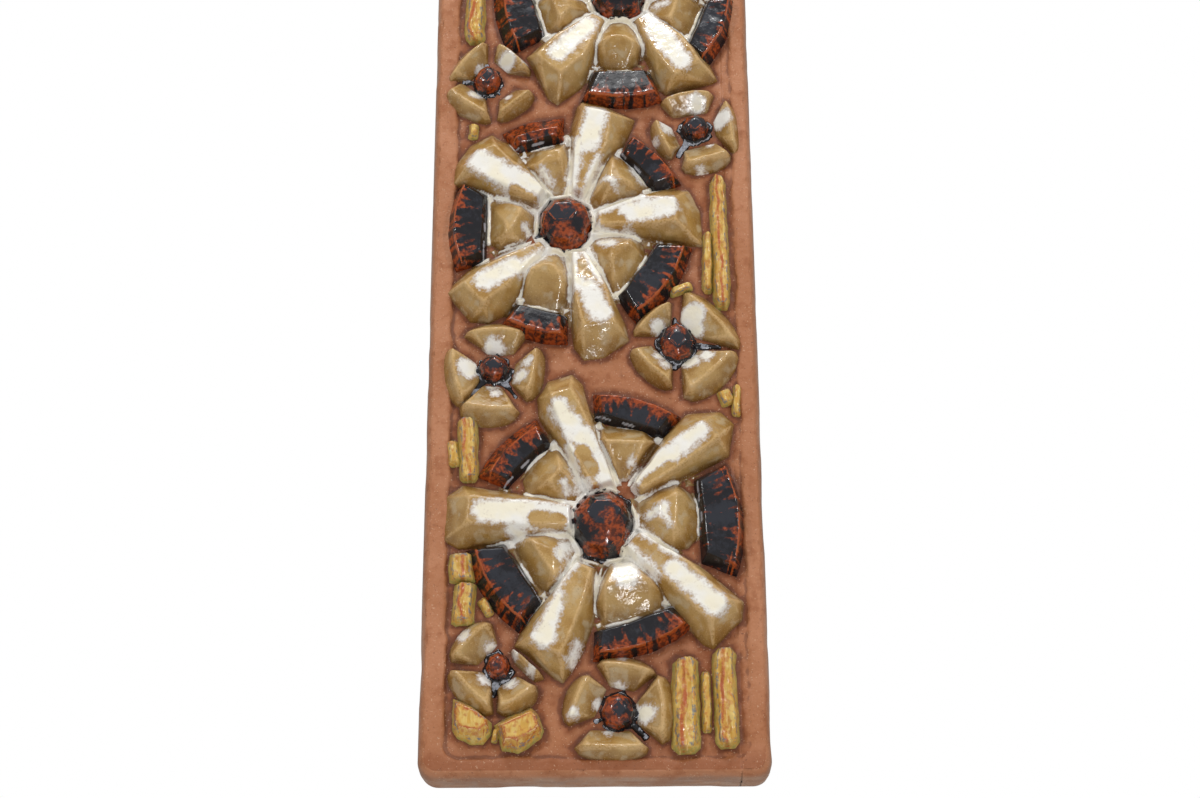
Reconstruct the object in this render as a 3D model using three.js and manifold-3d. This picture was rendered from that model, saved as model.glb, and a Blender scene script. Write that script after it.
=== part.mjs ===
// A long stoneware wall plaque with three large flowers and many small ones carved in high relief.
// It hangs upright: X runs across it, Z up its length, and its flat back lies on the plane Y = 0,
// with the relief facing -Y. The origin is the middle of the back. Units are millimetres.

import * as THREE from 'three';
import { ConvexGeometry } from 'three/addons/geometries/ConvexGeometry.js';
import { mergeVertices } from 'three/addons/utils/BufferGeometryUtils.js';
import Module from 'manifold-3d';

const wasm = await Module();
wasm.setup();

// ---- Driving dimensions ----

const WIDTH = 140; // across the front face, between its worn edges
const LENGTH = 460; // up the front face
const THICKNESS = 20; // from the back to the front face
const CORNER = 6; // radius of the slab's four corners
const CORNER_STEPS = 5;
// Sections through the hand-cut sides: [level against the front face, swell beyond its edge].
const SIDE_SECTIONS = [[0, -1], [-1.5, 0.5], [-6, 2], [-13, 2], [-18.5, 1.5], [-THICKNESS, 0.5]];
const FIELD = { left: 61.5, right: 62.5, bottom: 6, top: 452, corner: 6 }; // the sunk ground
const FIELD_SLOPE = 1; // how far the field's edge leans outward up to the front face
const GROUND = -1; // level of the sunk ground, against the front face
const ROOT = -5; // how deep the carved forms run into the slab

// Shapes shared by forms of a kind. Levels, reaches and insets are in millimetres; shares are shares
// of the form's own length, width or rise.
const ARC = { endInset: 3, innerBevel: 2.5, innerDrop: 1.5, rimSteps: 6, ridgeSteps: 4 };
const HUB = { corners: 9, topCorners: 6, shoulderRise: 0.62, shoulderOut: 1 };
const SMALL_HUB = { corners: 8, topCorners: 4, topShare: 0.5, rise: 6 };
const PETAL = {
  rise: 6.5, waistShare: 0.58, crestReach: 0.12, crestWidth: 0.76, crestFall: 0.5, rimSteps: 8, crestSteps: 5,
};
const BAR = { endWidth: 0.6, shoulderLength: 0.88, topWidth: 0.55, topInset: 1.5 };
const BLOCK = { topWidth: 0.55, topLength: 0.75 };

// ---- Layout ----
// Places are [across, up]: across from the centre line, and up from the bottom edge of the front.
// A form stands on an axis that leaves its heel at an angle, counted from across towards up. Each
// outline station says how far along the axis it is, as a share of the length, and how far the form
// reaches to the left and to the right there. A crest station adds its height above the front face.

const FLOWERS = [
  {
    centre: [2, 105],
    hub: { shift: [1.5, 1], wide: 13.5, tall: 16.5, top: [0.5, 2], topWide: 6.5, topTall: 6, rise: 12 },
    rays: [
      {
        heel: [-10, 3.5], turn: 178, length: 55,
        outline: [[0, 6.5, -6], [0.45, 10, -11.5], [0.88, 14.5, -14.5], [1, 11, -9]],
        crest: [[0.04, 5, -4, 7], [0.82, 6, -6, 9.5]],
      },
      {
        heel: [15.5, 15.5], turn: 41, length: 52.5,
        outline: [[0, 3, -3], [0.25, 8, -5], [0.5, 11.5, -10.5], [0.78, 13, -13.5], [1, 4, -4]],
        crest: [[0.03, 2, -2.5, 6], [0.4, 6, -5.5, 9], [0.76, 3, -7, 10]],
      },
      {
        heel: [1, 16], turn: 109, length: 56,
        outline: [[0, 5.5, -6.5], [0.5, 9.5, -7], [0.73, 14, -7.5], [0.89, 12.5, -9], [1, 5, -6]],
        crest: [[0.03, 4, -5, 6], [0.4, 7, -5, 8.5], [0.82, 7, -2.5, 10]],
      },
      {
        heel: [-5.5, -16.5], turn: 245, length: 47,
        outline: [[0, 4.5, -4.5], [0.48, 13.8, -9], [0.8, 14.6, -12.3], [0.95, 14.3, -12], [1.07, 13, 9]],
        crest: [[0.05, 3.5, -3.5, 5.5], [0.4, 6.5, -5, 8.5], [0.9, 8, -6.2, 9.5]],
      },
      {
        heel: [12.5, -5.5], turn: 316.5, length: 56,
        outline: [[0, 5, -5], [0.45, 11, -5.8], [0.66, 12.5, -10.5], [0.95, 12.5, -13.2], [1.03, 6, -11.5]],
        crest: [[0.05, 4, -4, 5.5], [0.45, 7.5, -4.6, 8], [0.9, 6.5, -5.2, 9.5]],
      },
    ],
    sepals: [
      {
        heel: [10, 21.5], turn: 88, length: 24,
        outline: [[0, 1.5, -1.5], [0.4, 5.5, -6.5], [0.75, 12, -14], [1, 9, -8]],
        crest: [[0.6, 8.5, -9, 8]],
      },
      {
        heel: [16, 5.5], turn: 357, length: 26,
        outline: [[0, 6, -6], [0.25, 12, -11.5], [0.6, 15.5, -15.5], [0.85, 11, -13], [1, 5, -8]],
        crest: [[0.35, 4, -4, 7.5], [0.62, 8, -8, 8]],
      },
      {
        heel: [9, -15], turn: 278, length: 27.5,
        outline: [[0, 5, -5], [0.35, 14, -11.5], [0.7, 16.5, -14], [1, 9, -11]],
        crest: [[0.15, 4, -4, 6], [0.46, 9, -9, 9]],
      },
      {
        heel: [-11, -7.5], turn: 212, length: 22,
        outline: [[0, 3, -4], [0.12, 5.5, -8], [0.7, 13, -15.2], [0.95, 11.5, -13], [1.05, 4, -3]],
        crest: [[0.45, 1, -1, 7.5], [0.68, 10, -8, 8]],
      },
      {
        heel: [-8, 12], turn: 138, length: 25.5,
        outline: [[0, 3, -3], [0.3, 9.5, -8], [0.72, 13.5, -11.8], [0.95, 9.5, -12], [1.05, 1, -4]],
        crest: [[0.53, 5, -3, 8.5]],
      },
    ],
    arcs: [
      { middle: 73.5, spread: 18.5, inner: 46, outer: 61.5, ridge: 58, rise: 6.5 },
      { middle: 3.5, spread: 24.5, inner: 41.5, outer: 61, ridge: 58.5, rise: 6.5 },
      { middle: 289, spread: 22, inner: 42.5, outer: 58.5, ridge: 56, rise: 6 },
      { middle: 212.5, spread: 22.5, inner: 37, outer: 57, ridge: 52.5, rise: 6 },
      { middle: 137, spread: 19, inner: 40.5, outer: 56.5, ridge: 51, rise: 6 },
    ],
  },
  {
    centre: [-12, 247],
    hub: { shift: [-0.5, 1.5], wide: 12.5, tall: 14, top: [-1, 1.5], topWide: 7, topTall: 5, rise: 11 },
    rays: [
      {
        heel: [4.5, 15], turn: 75.5, length: 49.6,
        outline: [[0, 3.5, -3.5], [0.58, 10.5, -10.5], [0.7, 11.5, -14.5], [0.93, 12, -15.2], [1, 10.5, -1]],
        crest: [[0.05, 2.5, -2.5, 5], [0.5, 7, -7, 9], [0.83, 7, -5.2, 10]],
      },
      {
        heel: [12, 2], turn: 3, length: 48,
        outline: [[0, 5.5, -5], [0.35, 10.5, -6], [0.7, 16, -10], [0.9, 15, -13], [1, 4, -14]],
        crest: [[0.05, 4, -3, 5.5], [0.45, 9, -5, 8.5], [0.75, 6, -5.3, 10]],
      },
      {
        heel: [5, -12], turn: 278.7, length: 52.6,
        outline: [[0, 4, -3.5], [0.26, 9.2, -4], [0.72, 15.5, -8.3], [0.88, 15.7, -8.5], [1, 4, -5]],
        crest: [[0.04, 3, -2.5, 5], [0.45, 9.5, -4.8, 9], [0.76, 10, -4, 9.7]],
      },
      {
        heel: [-9, -9], turn: 220, length: 48.3,
        outline: [[0, 2.5, -3], [0.3, 3.5, -9.5], [0.7, 15, -13.3], [0.9, 13, -12], [1, 7, -10]],
        crest: [[0.05, 1.5, -2, 5], [0.52, 6.5, -6, 8.5], [0.85, 7.3, -6, 9.5]],
      },
      {
        heel: [-10.5, 13.5], turn: 146.5, length: 41,
        outline: [[0, 4, -4], [0.4, 8, -9.5], [0.65, 10, -16], [0.95, 15, -16.5], [1.07, 6, -6]],
        crest: [[0.05, 3, -3, 5.5], [0.45, 5, -6, 8.5], [0.75, 8, -8, 9.5], [0.86, 7.5, -2, 9.5]],
      },
    ],
    sepals: [
      {
        heel: [-2.5, 16], turn: 106.7, length: 26,
        outline: [[0, 2.5, -3], [0.38, 8, -8.7], [0.75, 14, -10.3], [1, 6, -9.7]],
        crest: [[0.55, 6, -4, 8], [0.76, -1, -6, 7.5]],
      },
      {
        heel: [12, 12], turn: 52, length: 27,
        outline: [[0, 3, -3], [0.2, 5.8, -6.2], [0.65, 9.5, -14.3], [0.8, 11, -13], [1, 10.5, 0]],
        crest: [[0.38, 0, -2.5, 9], [0.55, 0.5, -5.5, 8.5], [0.72, 4.5, 3.5, 7]],
      },
      {
        heel: [11, -7], turn: 318, length: 27.5,
        outline: [[0, 3.5, -3.5], [0.4, 14.5, -8.5], [0.67, 14, -11], [0.88, 10, -13.2], [1, 1, -10.5]],
        crest: [[0.45, 3, 0, 8.5], [0.56, 8, -3.5, 8.5]],
      },
      {
        heel: [-6, -11.5], turn: 262, length: 29,
        outline: [[0, 2, -2.5], [0.22, 8, -10], [0.6, 10.3, -12], [0.88, 10, -10], [1, 5.5, -5]],
        crest: [[0.37, 2.5, -2.5, 9], [0.5, 6.5, -7, 8.5]],
      },
      {
        heel: [-14, 3], turn: 181, length: 20.5,
        outline: [[0, 3, -3], [0.25, 9, -9.5], [0.78, 13, -13.3], [1, 9.5, -11]],
        crest: [[0.3, -1, -3, 8], [0.62, 9, 4, 8]],
      },
    ],
    arcs: [
      { middle: 106, spread: 15, inner: 42.5, outer: 57, ridge: 48.5, rise: 6 },
      { middle: 40.5, spread: 17.5, inner: 41.5, outer: 56, ridge: 52.5, rise: 6 },
      { middle: 326.5, spread: 23.5, inner: 37.5, outer: 56.5, ridge: 53, rise: 6 },
      { middle: 255, spread: 16, inner: 41.5, outer: 57, ridge: 54, rise: 6 },
      { middle: 179, spread: 25, inner: 35, outer: 53, ridge: 49.5, rise: 6 },
    ],
  },
  {
    centre: [12, 367],
    hub: { shift: [0, 1], wide: 13, tall: 14, top: [0, 1], topWide: 6.5, topTall: 5.5, rise: 11 },
    rays: [
      {
        heel: [-8, -10.5], turn: 237.4, length: 44.5,
        outline: [[0, 3, -4], [0.32, 4, -12], [0.55, 10.9, -15.5], [0.8, 12, -18], [1.1, 7.5, 2]],
        crest: [[0.05, 2, -3, 5], [0.5, 6, -10, 8.5], [0.82, 2.5, -11.5, 9], [0.86, 2.5, 1, 9.5]],
      },
      {
        heel: [9, -10], turn: 303.3, length: 45.5,
        outline: [[0, 4.5, -3.5], [0.42, 12, -9], [0.8, 13.5, -13.3], [0.9, 13, -12.5], [1.05, 11.5, 8]],
        crest: [[0.05, 3.5, -2.5, 5], [0.5, 8.5, -6, 8.5], [0.86, 7.5, -6.2, 9.5]],
      },
      {
        heel: [14, 5], turn: 15, length: 36,
        outline: [[0, 5, -5], [0.8, 12.5, -12.5], [1, 9, -9]],
        crest: [[0.05, 4, -4, 6], [0.75, 6, -6, 9.5]],
      },
      {
        heel: [0, 15], turn: 92, length: 47,
        outline: [[0, 5, -5], [0.85, 13.5, -13.5], [1, 9, -9]],
        crest: [[0.05, 4, -4, 6], [0.8, 6, -6, 10]],
      },
      {
        heel: [-14, 5], turn: 163, length: 48,
        outline: [[0, 5, -5], [0.85, 13.5, -13.5], [1, 9, -9]],
        crest: [[0.05, 4, -4, 6], [0.8, 6, -6, 9.5]],
      },
    ],
    sepals: [
      {
        heel: [0, -10], turn: 268, length: 29,
        outline: [[0, 2.5, -2.5], [0.25, 9, -8], [0.6, 12.5, -12], [0.86, 9, -9], [1, 4, -4]],
        crest: [[0.52, 4, -3, 9], [0.6, 8, -7, 8.5]],
      },
      {
        heel: [13, -4], turn: 340, length: 24,
        outline: [[0, 3, -3], [0.4, 10, -10], [0.8, 12.5, -12], [1, 8, -8]],
        crest: [[0.55, 7, -7, 8]],
      },
      {
        heel: [10, 13], turn: 53, length: 25,
        outline: [[0, 3, -3], [0.4, 9, -9], [0.8, 12, -12], [1, 7, -7]],
        crest: [[0.55, 6, -6, 8]],
      },
      {
        heel: [-10, 13], turn: 127, length: 25,
        outline: [[0, 3, -3], [0.4, 9, -9], [0.8, 12, -12], [1, 7, -7]],
        crest: [[0.55, 6, -6, 8]],
      },
      {
        heel: [-14, -3], turn: 200, length: 24,
        outline: [[0, 3, -3], [0.4, 10, -10], [0.8, 12.5, -12.5], [1, 8, -8]],
        crest: [[0.4, 2, -2, 7.5], [0.65, 6, -6, 8]],
      },
    ],
    arcs: [
      { middle: 271, spread: 19, inner: 39, outer: 58, ridge: 55, rise: 6 },
      { middle: 338, spread: 22, inner: 38, outer: 54, ridge: 51, rise: 6 },
      { middle: 51, spread: 19, inner: 41, outer: 56, ridge: 52, rise: 6 },
      { middle: 128, spread: 19, inner: 41, outer: 56, ridge: 52, rise: 6 },
      { middle: 194, spread: 17, inner: 37.5, outer: 58, ridge: 53, rise: 6 },
    ],
  },
];

// A small flower's petal is a slice of a ring: [turn, near, far, left, right, near left, near right].
// Near and far are its reach from the flower's centre, left and right its widest half widths, and
// the last two the half widths of its straight near edge.
const SMALL_FLOWERS = [
  {
    centre: [-47, 324], hub: { shift: [-0.7, -1], wide: 6.5, tall: 7 },
    petals: [
      [141, 6.5, 18.5, 12.4, 14.5, 4.1, 6.6], [45, 8.5, 19, 11.2, 11.4, 6, 3.5],
      [232, 8.3, 22.7, 14.2, 11.7, 4.3, 9.4], [311, 11, 23, 10.4, 11.2, 5.8, 3.6],
    ],
  },
  {
    centre: [46, 297], hub: { wide: 6.5, tall: 6.5 },
    petals: [
      [99, 8.5, 21.6, 13, 11.6, 8.3, 7], [8, 8.7, 20.6, 13.4, 15, 3.5, 3.5],
      [287, 8.5, 23.2, 11.8, 12, 7, 7.8], [201, 9, 20.2, 10, 11.2, 5, 5.5],
    ],
  },
  {
    centre: [38, 190], hub: { shift: [-2, 0], wide: 8, tall: 9 },
    petals: [
      [133, 10, 21.8, 12.4, 10.8, 5, 3], [41, 7, 24.2, 18, 18.2, 8.4, 2],
      [313, 7, 27, 15, 17, 3.6, 7], [223, 10, 22.9, 12.4, 13, 4.5, 8.5],
    ],
  },
  {
    centre: [-43, 178], hub: { wide: 7, tall: 6.5 },
    petals: [
      [90, 7.5, 22.6, 13.4, 14, 3, 8], [191, 7, 23, 15, 14.4, 3.5, 5],
      [264.5, 7.5, 27.2, 13.2, 13.5, 4, 4], [350, 8, 22.2, 14.2, 12.6, 4.5, 5],
    ],
  },
  {
    centre: [-40, 44], hub: { wide: 5, tall: 6 },
    petals: [
      [135, 6.6, 21.6, 11.6, 12, 5, 7], [224, 5.3, 21, 13, 13, 1.8, 3],
      [303, 6.8, 21.8, 9.8, 10.2, 4.5, 4.5], [52, 5, 10.5, 0, 18, -5, 16],
    ],
  },
  {
    centre: [9, 25], hub: { wide: 7, tall: 8 },
    petals: [
      [80, 10, 23.8, 12, 13.4, 5, 5], [160, 7.5, 22.5, 12, 11, 5, 7.5],
      [270, 7.3, 20.7, 12.8, 17.8, 4.5, 11], [3, 7.5, 24.6, 15, 14.4, 3, 5],
    ],
  },
  {
    centre: [-44, 428], hub: { wide: 6.5, tall: 6.5 },
    petals: [
      [90, 8, 21, 12.4, 12, 5, 4], [180, 8, 20.5, 12, 12.6, 4, 5.5],
      [270, 8, 20.5, 12, 12, 4.5, 4], [0, 8, 21, 12.4, 12, 4, 4.5],
    ],
  },
  {
    centre: [47, 431], hub: { wide: 6.5, tall: 6.5 },
    petals: [
      [45, 8, 20, 12.4, 12, 4, 5], [135, 8, 20, 12, 12.4, 5, 4],
      [225, 8, 20, 12, 12, 4, 4.5], [315, 8, 19, 12, 12.2, 4.5, 4],
    ],
  },
];

// Ribbed bars and blocks: [across, up, half width, half length, turn, rise].
const BARS = [
  [-54.5, 365, 4.5, 22, 91, 4],
  [56, 240, 3.8, 33, 90.5, 4.5],
  [50.3, 230, 2.3, 15, 89, 3],
  [-54.5, 297, 2.4, 4, 85, 2],
  [-53.5, 140.5, 4.4, 15, 91, 4.5],
  [-60, 139, 2.8, 6.5, 95, 2.5],
  [-55, 87, 5.5, 7, 90, 4],
  [-54, 71, 4.8, 9.5, 88, 4.5],
  [36.8, 28, 5.8, 20.3, 90, 5],
  [45.3, 29, 2.2, 12.5, 90, 2.5],
  [53.3, 31, 5, 21, 91, 5],
  [61.5, 163, 1.8, 7.5, 85, 2.5],
  [57, 165, 3, 4, 110, 2.5],
  [38.5, 216.5, 2.2, 5.5, 20, 2],
  [-45, 70, 2, 4, 120, 1.5],
  [-40.3, 15.5, 1.4, 3, 80, 2],
];
const BLOCKS = [
  {
    heel: [-58, 22], turn: 0, length: 16, rise: 5,
    outline: [[0, 9, -4], [0.1, 7.5, -7], [0.45, 6, -9.5], [0.8, 1, -10], [1, -1, -6]],
  },
  {
    heel: [-38, 14], turn: 20, length: 17.5, rise: 6.5,
    outline: [[-0.05, 6.5, -5], [0.25, 8, -8.8], [0.9, 8.5, -5.5], [1, 5, -3]],
  },
];

// ---- Placing ----

function place([across, up], height) {
  return new THREE.Vector3(across, -(THICKNESS + height), up - LENGTH / 2);
}

function plus([across, up], [right, higher]) {
  return [across + right, up + higher];
}

// A point along and to the left of an axis that leaves the heel at an angle in degrees.
function beside(heel, turn, along, left) {
  const angle = THREE.MathUtils.degToRad(turn);
  const across = along * Math.cos(angle) - left * Math.sin(angle);
  const up = along * Math.sin(angle) + left * Math.cos(angle);
  return plus(heel, [across, up]);
}

function spread(count, from, to) {
  return Array.from({ length: count }, (_, step) => from + ((to - from) * step) / (count - 1));
}

function oval(centre, count, wide, tall) {
  return spread(count + 1, 0, 360).slice(1).map((turn) => {
    const angle = THREE.MathUtils.degToRad(turn);
    return plus(centre, [wide * Math.cos(angle), tall * Math.sin(angle)]);
  });
}

// ---- Solids ----

function solidOf(points) {
  const hull = new ConvexGeometry(points);
  hull.deleteAttribute('normal');
  const merged = mergeVertices(hull, 1e-4);
  const vertProperties = new Float32Array(merged.attributes.position.array);
  const triVerts = new Uint32Array(merged.index.array);
  return new wasm.Manifold(new wasm.Mesh({ numProp: 3, vertProperties, triVerts }));
}

// A carved form: straight sides up to the ground, then facets up to its crest.
function carvedForm(outline, crest) {
  const points = crest.map(([spot, height]) => place(spot, height));
  for (const spot of outline) {
    points.push(place(spot, ROOT), place(spot, GROUND));
  }
  return solidOf(points);
}

function formByStations({ heel, turn, length, outline, crest }) {
  const sides = ([share, ...lefts]) => lefts.map((left) => beside(heel, turn, share * length, left));
  const top = crest.flatMap(([share, left, right, height]) => (
    sides([share, left, right]).map((spot) => [spot, height])
  ));
  return carvedForm(outline.flatMap(sides), top);
}

// A dark half moon outside a sepal: straight inside, round outside, with its ridge near the rim.
function ringArc(centre, { middle, spread: half, inner, outer, ridge, rise }) {
  const across = inner * Math.tan(THREE.MathUtils.degToRad(half));
  const outline = [beside(centre, middle, inner, across), beside(centre, middle, inner, -across)];
  for (const turn of spread(ARC.rimSteps, middle - half, middle + half)) {
    outline.push(beside(centre, turn, outer, 0));
  }
  const crest = [1, -1].map((side) => (
    [beside(centre, middle, inner + ARC.innerBevel, side * (across - ARC.endInset)), rise - ARC.innerDrop]
  ));
  const reach = half - THREE.MathUtils.radToDeg(ARC.endInset / ridge);
  for (const turn of spread(ARC.ridgeSteps, middle - reach, middle + reach)) {
    crest.push([beside(centre, turn, ridge, 0), rise]);
  }
  return carvedForm(outline, crest);
}

// A faceted button: an oval ring of corners, a shoulder and a smaller flat top.
function hubForm(centre, { wide, tall, top, topWide, topTall, rise }, corners, topCorners) {
  const shoulderWide = (wide + topWide) / 2 + HUB.shoulderOut;
  const shoulderTall = (tall + topTall) / 2 + HUB.shoulderOut;
  const shoulder = oval(centre, corners, shoulderWide, shoulderTall);
  const crest = oval(plus(centre, top), topCorners, topWide, topTall);
  return carvedForm(oval(centre, corners, wide, tall), [
    ...shoulder.map((spot) => [spot, rise * HUB.shoulderRise]),
    ...crest.map((spot) => [spot, rise]),
  ]);
}

function smallHub(centre, { shift = [0, 0], wide, tall }) {
  const sizes = {
    wide, tall, top: [0, 0], topWide: wide * SMALL_HUB.topShare, topTall: tall * SMALL_HUB.topShare,
    rise: SMALL_HUB.rise,
  };
  return hubForm(plus(centre, shift), sizes, SMALL_HUB.corners, SMALL_HUB.topCorners);
}

// A petal with a straight near edge, a curved rim and a nearly straight crest between them.
function petalForm(centre, [turn, near, far, left, right, nearLeft, nearRight]) {
  const waist = near + (far - near) * PETAL.waistShare;
  const arc = (reach, share, count) => spread(count, -90, 90).map((step) => {
    const angle = THREE.MathUtils.degToRad(step);
    const width = share * (step > 0 ? left : right);
    return beside(centre, turn, waist + (reach - waist) * Math.cos(angle), width * Math.sin(angle));
  });
  const nearEdge = [beside(centre, turn, near, nearLeft), beside(centre, turn, near, -nearRight)];
  const crestReach = waist + (far - waist) * PETAL.crestReach;
  const crest = arc(crestReach, PETAL.crestWidth, PETAL.crestSteps);
  const middle = (PETAL.crestSteps - 1) / 2;
  return carvedForm([...arc(far, 1, PETAL.rimSteps), ...nearEdge], crest.map((spot, step) => (
    [spot, PETAL.rise - Math.abs(step - middle) * PETAL.crestFall]
  )));
}

// A bar with blunt ends and a narrower flat top.
function barForm([across, up, halfWidth, halfLength, turn, rise]) {
  const corners = (width, length) => [1, -1].flatMap((end) => [1, -1].flatMap((side) => [
    beside([across, up], turn, end * length, side * width * BAR.endWidth),
    beside([across, up], turn, end * length * BAR.shoulderLength, side * width),
  ]));
  const top = corners(halfWidth * BAR.topWidth, halfLength - BAR.topInset);
  return carvedForm(corners(halfWidth, halfLength), top.map((spot) => [spot, rise]));
}

function blockForm({ heel, turn, length, rise, outline }) {
  const middle = 0.5;
  const crest = outline.map(([share, left, right]) => [
    middle + (share - middle) * BLOCK.topLength, left * BLOCK.topWidth, right * BLOCK.topWidth, rise,
  ]);
  return formByStations({ heel, turn, length, outline, crest });
}

// ---- The slab ----

function roundedOutline(left, right, bottom, top, radius) {
  const corners = [
    [right - radius, top - radius, 0],
    [left + radius, top - radius, 90],
    [left + radius, bottom + radius, 180],
    [right - radius, bottom + radius, 270],
  ];
  return corners.flatMap(([across, up, start]) => (
    spread(CORNER_STEPS, start, start + 90).map((turn) => beside([across, up], turn, radius, 0))
  ));
}

function slabSolid() {
  const half = WIDTH / 2;
  return solidOf(SIDE_SECTIONS.flatMap(([height, swell]) => (
    roundedOutline(-half - swell, half + swell, -swell, LENGTH + swell, CORNER + swell)
      .map((spot) => place(spot, height))
  )));
}

function sunkGround() {
  const { left, right, bottom, top, corner } = FIELD;
  const clearance = 1;
  const section = (out, height) => (
    roundedOutline(-left - out, right + out, bottom - out, top + out, corner + out)
      .map((spot) => place(spot, height))
  );
  return solidOf([
    ...section(0, GROUND), ...section(FIELD_SLOPE, 0), ...section(FIELD_SLOPE, clearance),
  ]);
}

// ---- The plaque ----

function plaqueSolid() {
  const forms = [];
  for (const { centre, hub, rays, sepals, arcs } of FLOWERS) {
    const fromCentre = (form) => formByStations({ ...form, heel: plus(centre, form.heel) });
    forms.push(...rays.map(fromCentre), ...sepals.map(fromCentre));
    forms.push(...arcs.map((arc) => ringArc(centre, arc)));
    forms.push(hubForm(plus(centre, hub.shift), hub, HUB.corners, HUB.topCorners));
  }
  for (const { centre, hub, petals } of SMALL_FLOWERS) {
    forms.push(...petals.map((petal) => petalForm(centre, petal)), smallHub(centre, hub));
  }
  forms.push(...BARS.map(barForm), ...BLOCKS.map(blockForm));
  return forms.reduce((whole, form) => whole.add(form), slabSolid().subtract(sunkGround()));
}

function geometryOf(solid) {
  const mesh = solid.getMesh();
  const geometry = new THREE.BufferGeometry();
  geometry.setAttribute('position', new THREE.BufferAttribute(mesh.vertProperties, 3));
  geometry.setIndex(new THREE.BufferAttribute(mesh.triVerts, 1));
  geometry.computeVertexNormals();
  return geometry;
}

const clay = new THREE.MeshStandardMaterial({ color: 0xa86a48, roughness: 0.8, metalness: 0 });
const plaque = new THREE.Mesh(geometryOf(plaqueSolid()), clay);
plaque.name = 'plaque';

const wallPlaque = new THREE.Group();
wallPlaque.add(plaque);

export default wallPlaque;
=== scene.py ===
"""A long stoneware wall plaque with glazed flowers carved in relief, as an add-on that also runs as a script.

Lengths in the layout tables are millimetres on the plaque's face: across from its centre line, up
from the bottom edge of its front, and levels above the front face. The frame is in metres.
"""

import itertools
import math
from collections import namedtuple

import bpy
import numpy as np
from mathutils import Matrix, Vector


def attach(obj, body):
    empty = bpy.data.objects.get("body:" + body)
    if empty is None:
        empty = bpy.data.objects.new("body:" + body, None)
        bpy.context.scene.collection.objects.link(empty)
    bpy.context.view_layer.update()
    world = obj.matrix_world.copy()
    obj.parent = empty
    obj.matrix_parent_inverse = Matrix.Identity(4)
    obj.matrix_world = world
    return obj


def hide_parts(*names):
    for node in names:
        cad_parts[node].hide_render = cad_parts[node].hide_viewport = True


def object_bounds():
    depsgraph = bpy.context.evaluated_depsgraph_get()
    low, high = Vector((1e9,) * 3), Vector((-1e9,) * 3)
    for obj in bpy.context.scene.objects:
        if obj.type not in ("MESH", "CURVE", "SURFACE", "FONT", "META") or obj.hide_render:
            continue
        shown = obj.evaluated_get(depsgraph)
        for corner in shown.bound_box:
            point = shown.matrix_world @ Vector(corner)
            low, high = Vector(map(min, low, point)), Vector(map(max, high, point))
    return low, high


bl_info = {
    "name": "Stoneware flower plaque",
    "version": (1, 0, 0),
    "blender": (4, 5, 0),
    "location": "View3D > Sidebar > Plaque",
    "description": "Builds a carved and glazed stoneware wall plaque on its CAD frame",
    "category": "Object",
}

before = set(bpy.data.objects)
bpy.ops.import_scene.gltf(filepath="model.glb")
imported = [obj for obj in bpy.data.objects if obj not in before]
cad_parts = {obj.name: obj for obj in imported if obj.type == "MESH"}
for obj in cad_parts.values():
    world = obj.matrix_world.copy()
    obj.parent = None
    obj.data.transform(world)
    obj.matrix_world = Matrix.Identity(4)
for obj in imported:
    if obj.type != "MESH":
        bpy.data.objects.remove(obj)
CAD_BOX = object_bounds()
NODE = "plaque"
BODY = "root"

# ---- The slab ----

MM = 0.001
WIDTH = 140
LENGTH = 460
THICKNESS = 20
CORNER = 6
FIELD = {"left": 61.5, "right": 62.5, "bottom": 6, "top": 452, "corner": 6}
GROUND = -1
ROOT = -5

# Shapes shared by forms of a kind, as in the CAD.
ARC = {"end_inset": 3, "inner_bevel": 2.5, "inner_drop": 1.5, "rim_steps": 6, "ridge_steps": 4}
HUB = {"corners": 9, "top_corners": 6, "shoulder_rise": 0.62, "shoulder_out": 1}
SMALL_HUB = {"top_share": 0.5, "rise": 6, "corners": 8, "top_corners": 4}
PETAL = {
    "rise": 6.5, "waist": 0.58, "reach": 0.12, "width": 0.76, "fall": 0.5, "rim_steps": 8, "crest_steps": 5,
}
BAR = {"end_width": 0.6, "shoulder": 0.88, "top_width": 0.55, "top_inset": 1.5}
BLOCK = {"top_width": 0.55, "top_length": 0.75}

# ---- Layout ----
# A petal stands on an axis that leaves its heel at a turn in degrees, counted from across towards
# up. Each outline station is (share of the length, reach to the left, reach to the right), and a
# crest station adds its height. A white or tan streak of glaze runs between two such places:
# (share, left, share, left, radius at the first, radius at the second).
Petal = namedtuple("Petal", "heel turn length crest outline white tan", defaults=[[], []])
Moon = namedtuple("Moon", "middle spread inner outer ridge rise rust")
Hub = namedtuple("Hub", "shift wide tall top top_wide top_tall rise")
Flower = namedtuple("Flower", "name centre hub petals moons")
Block = namedtuple("Block", "heel turn length rise outline")
SmallFlower = namedtuple("SmallFlower", "centre shift wide tall runs petals")

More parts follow.
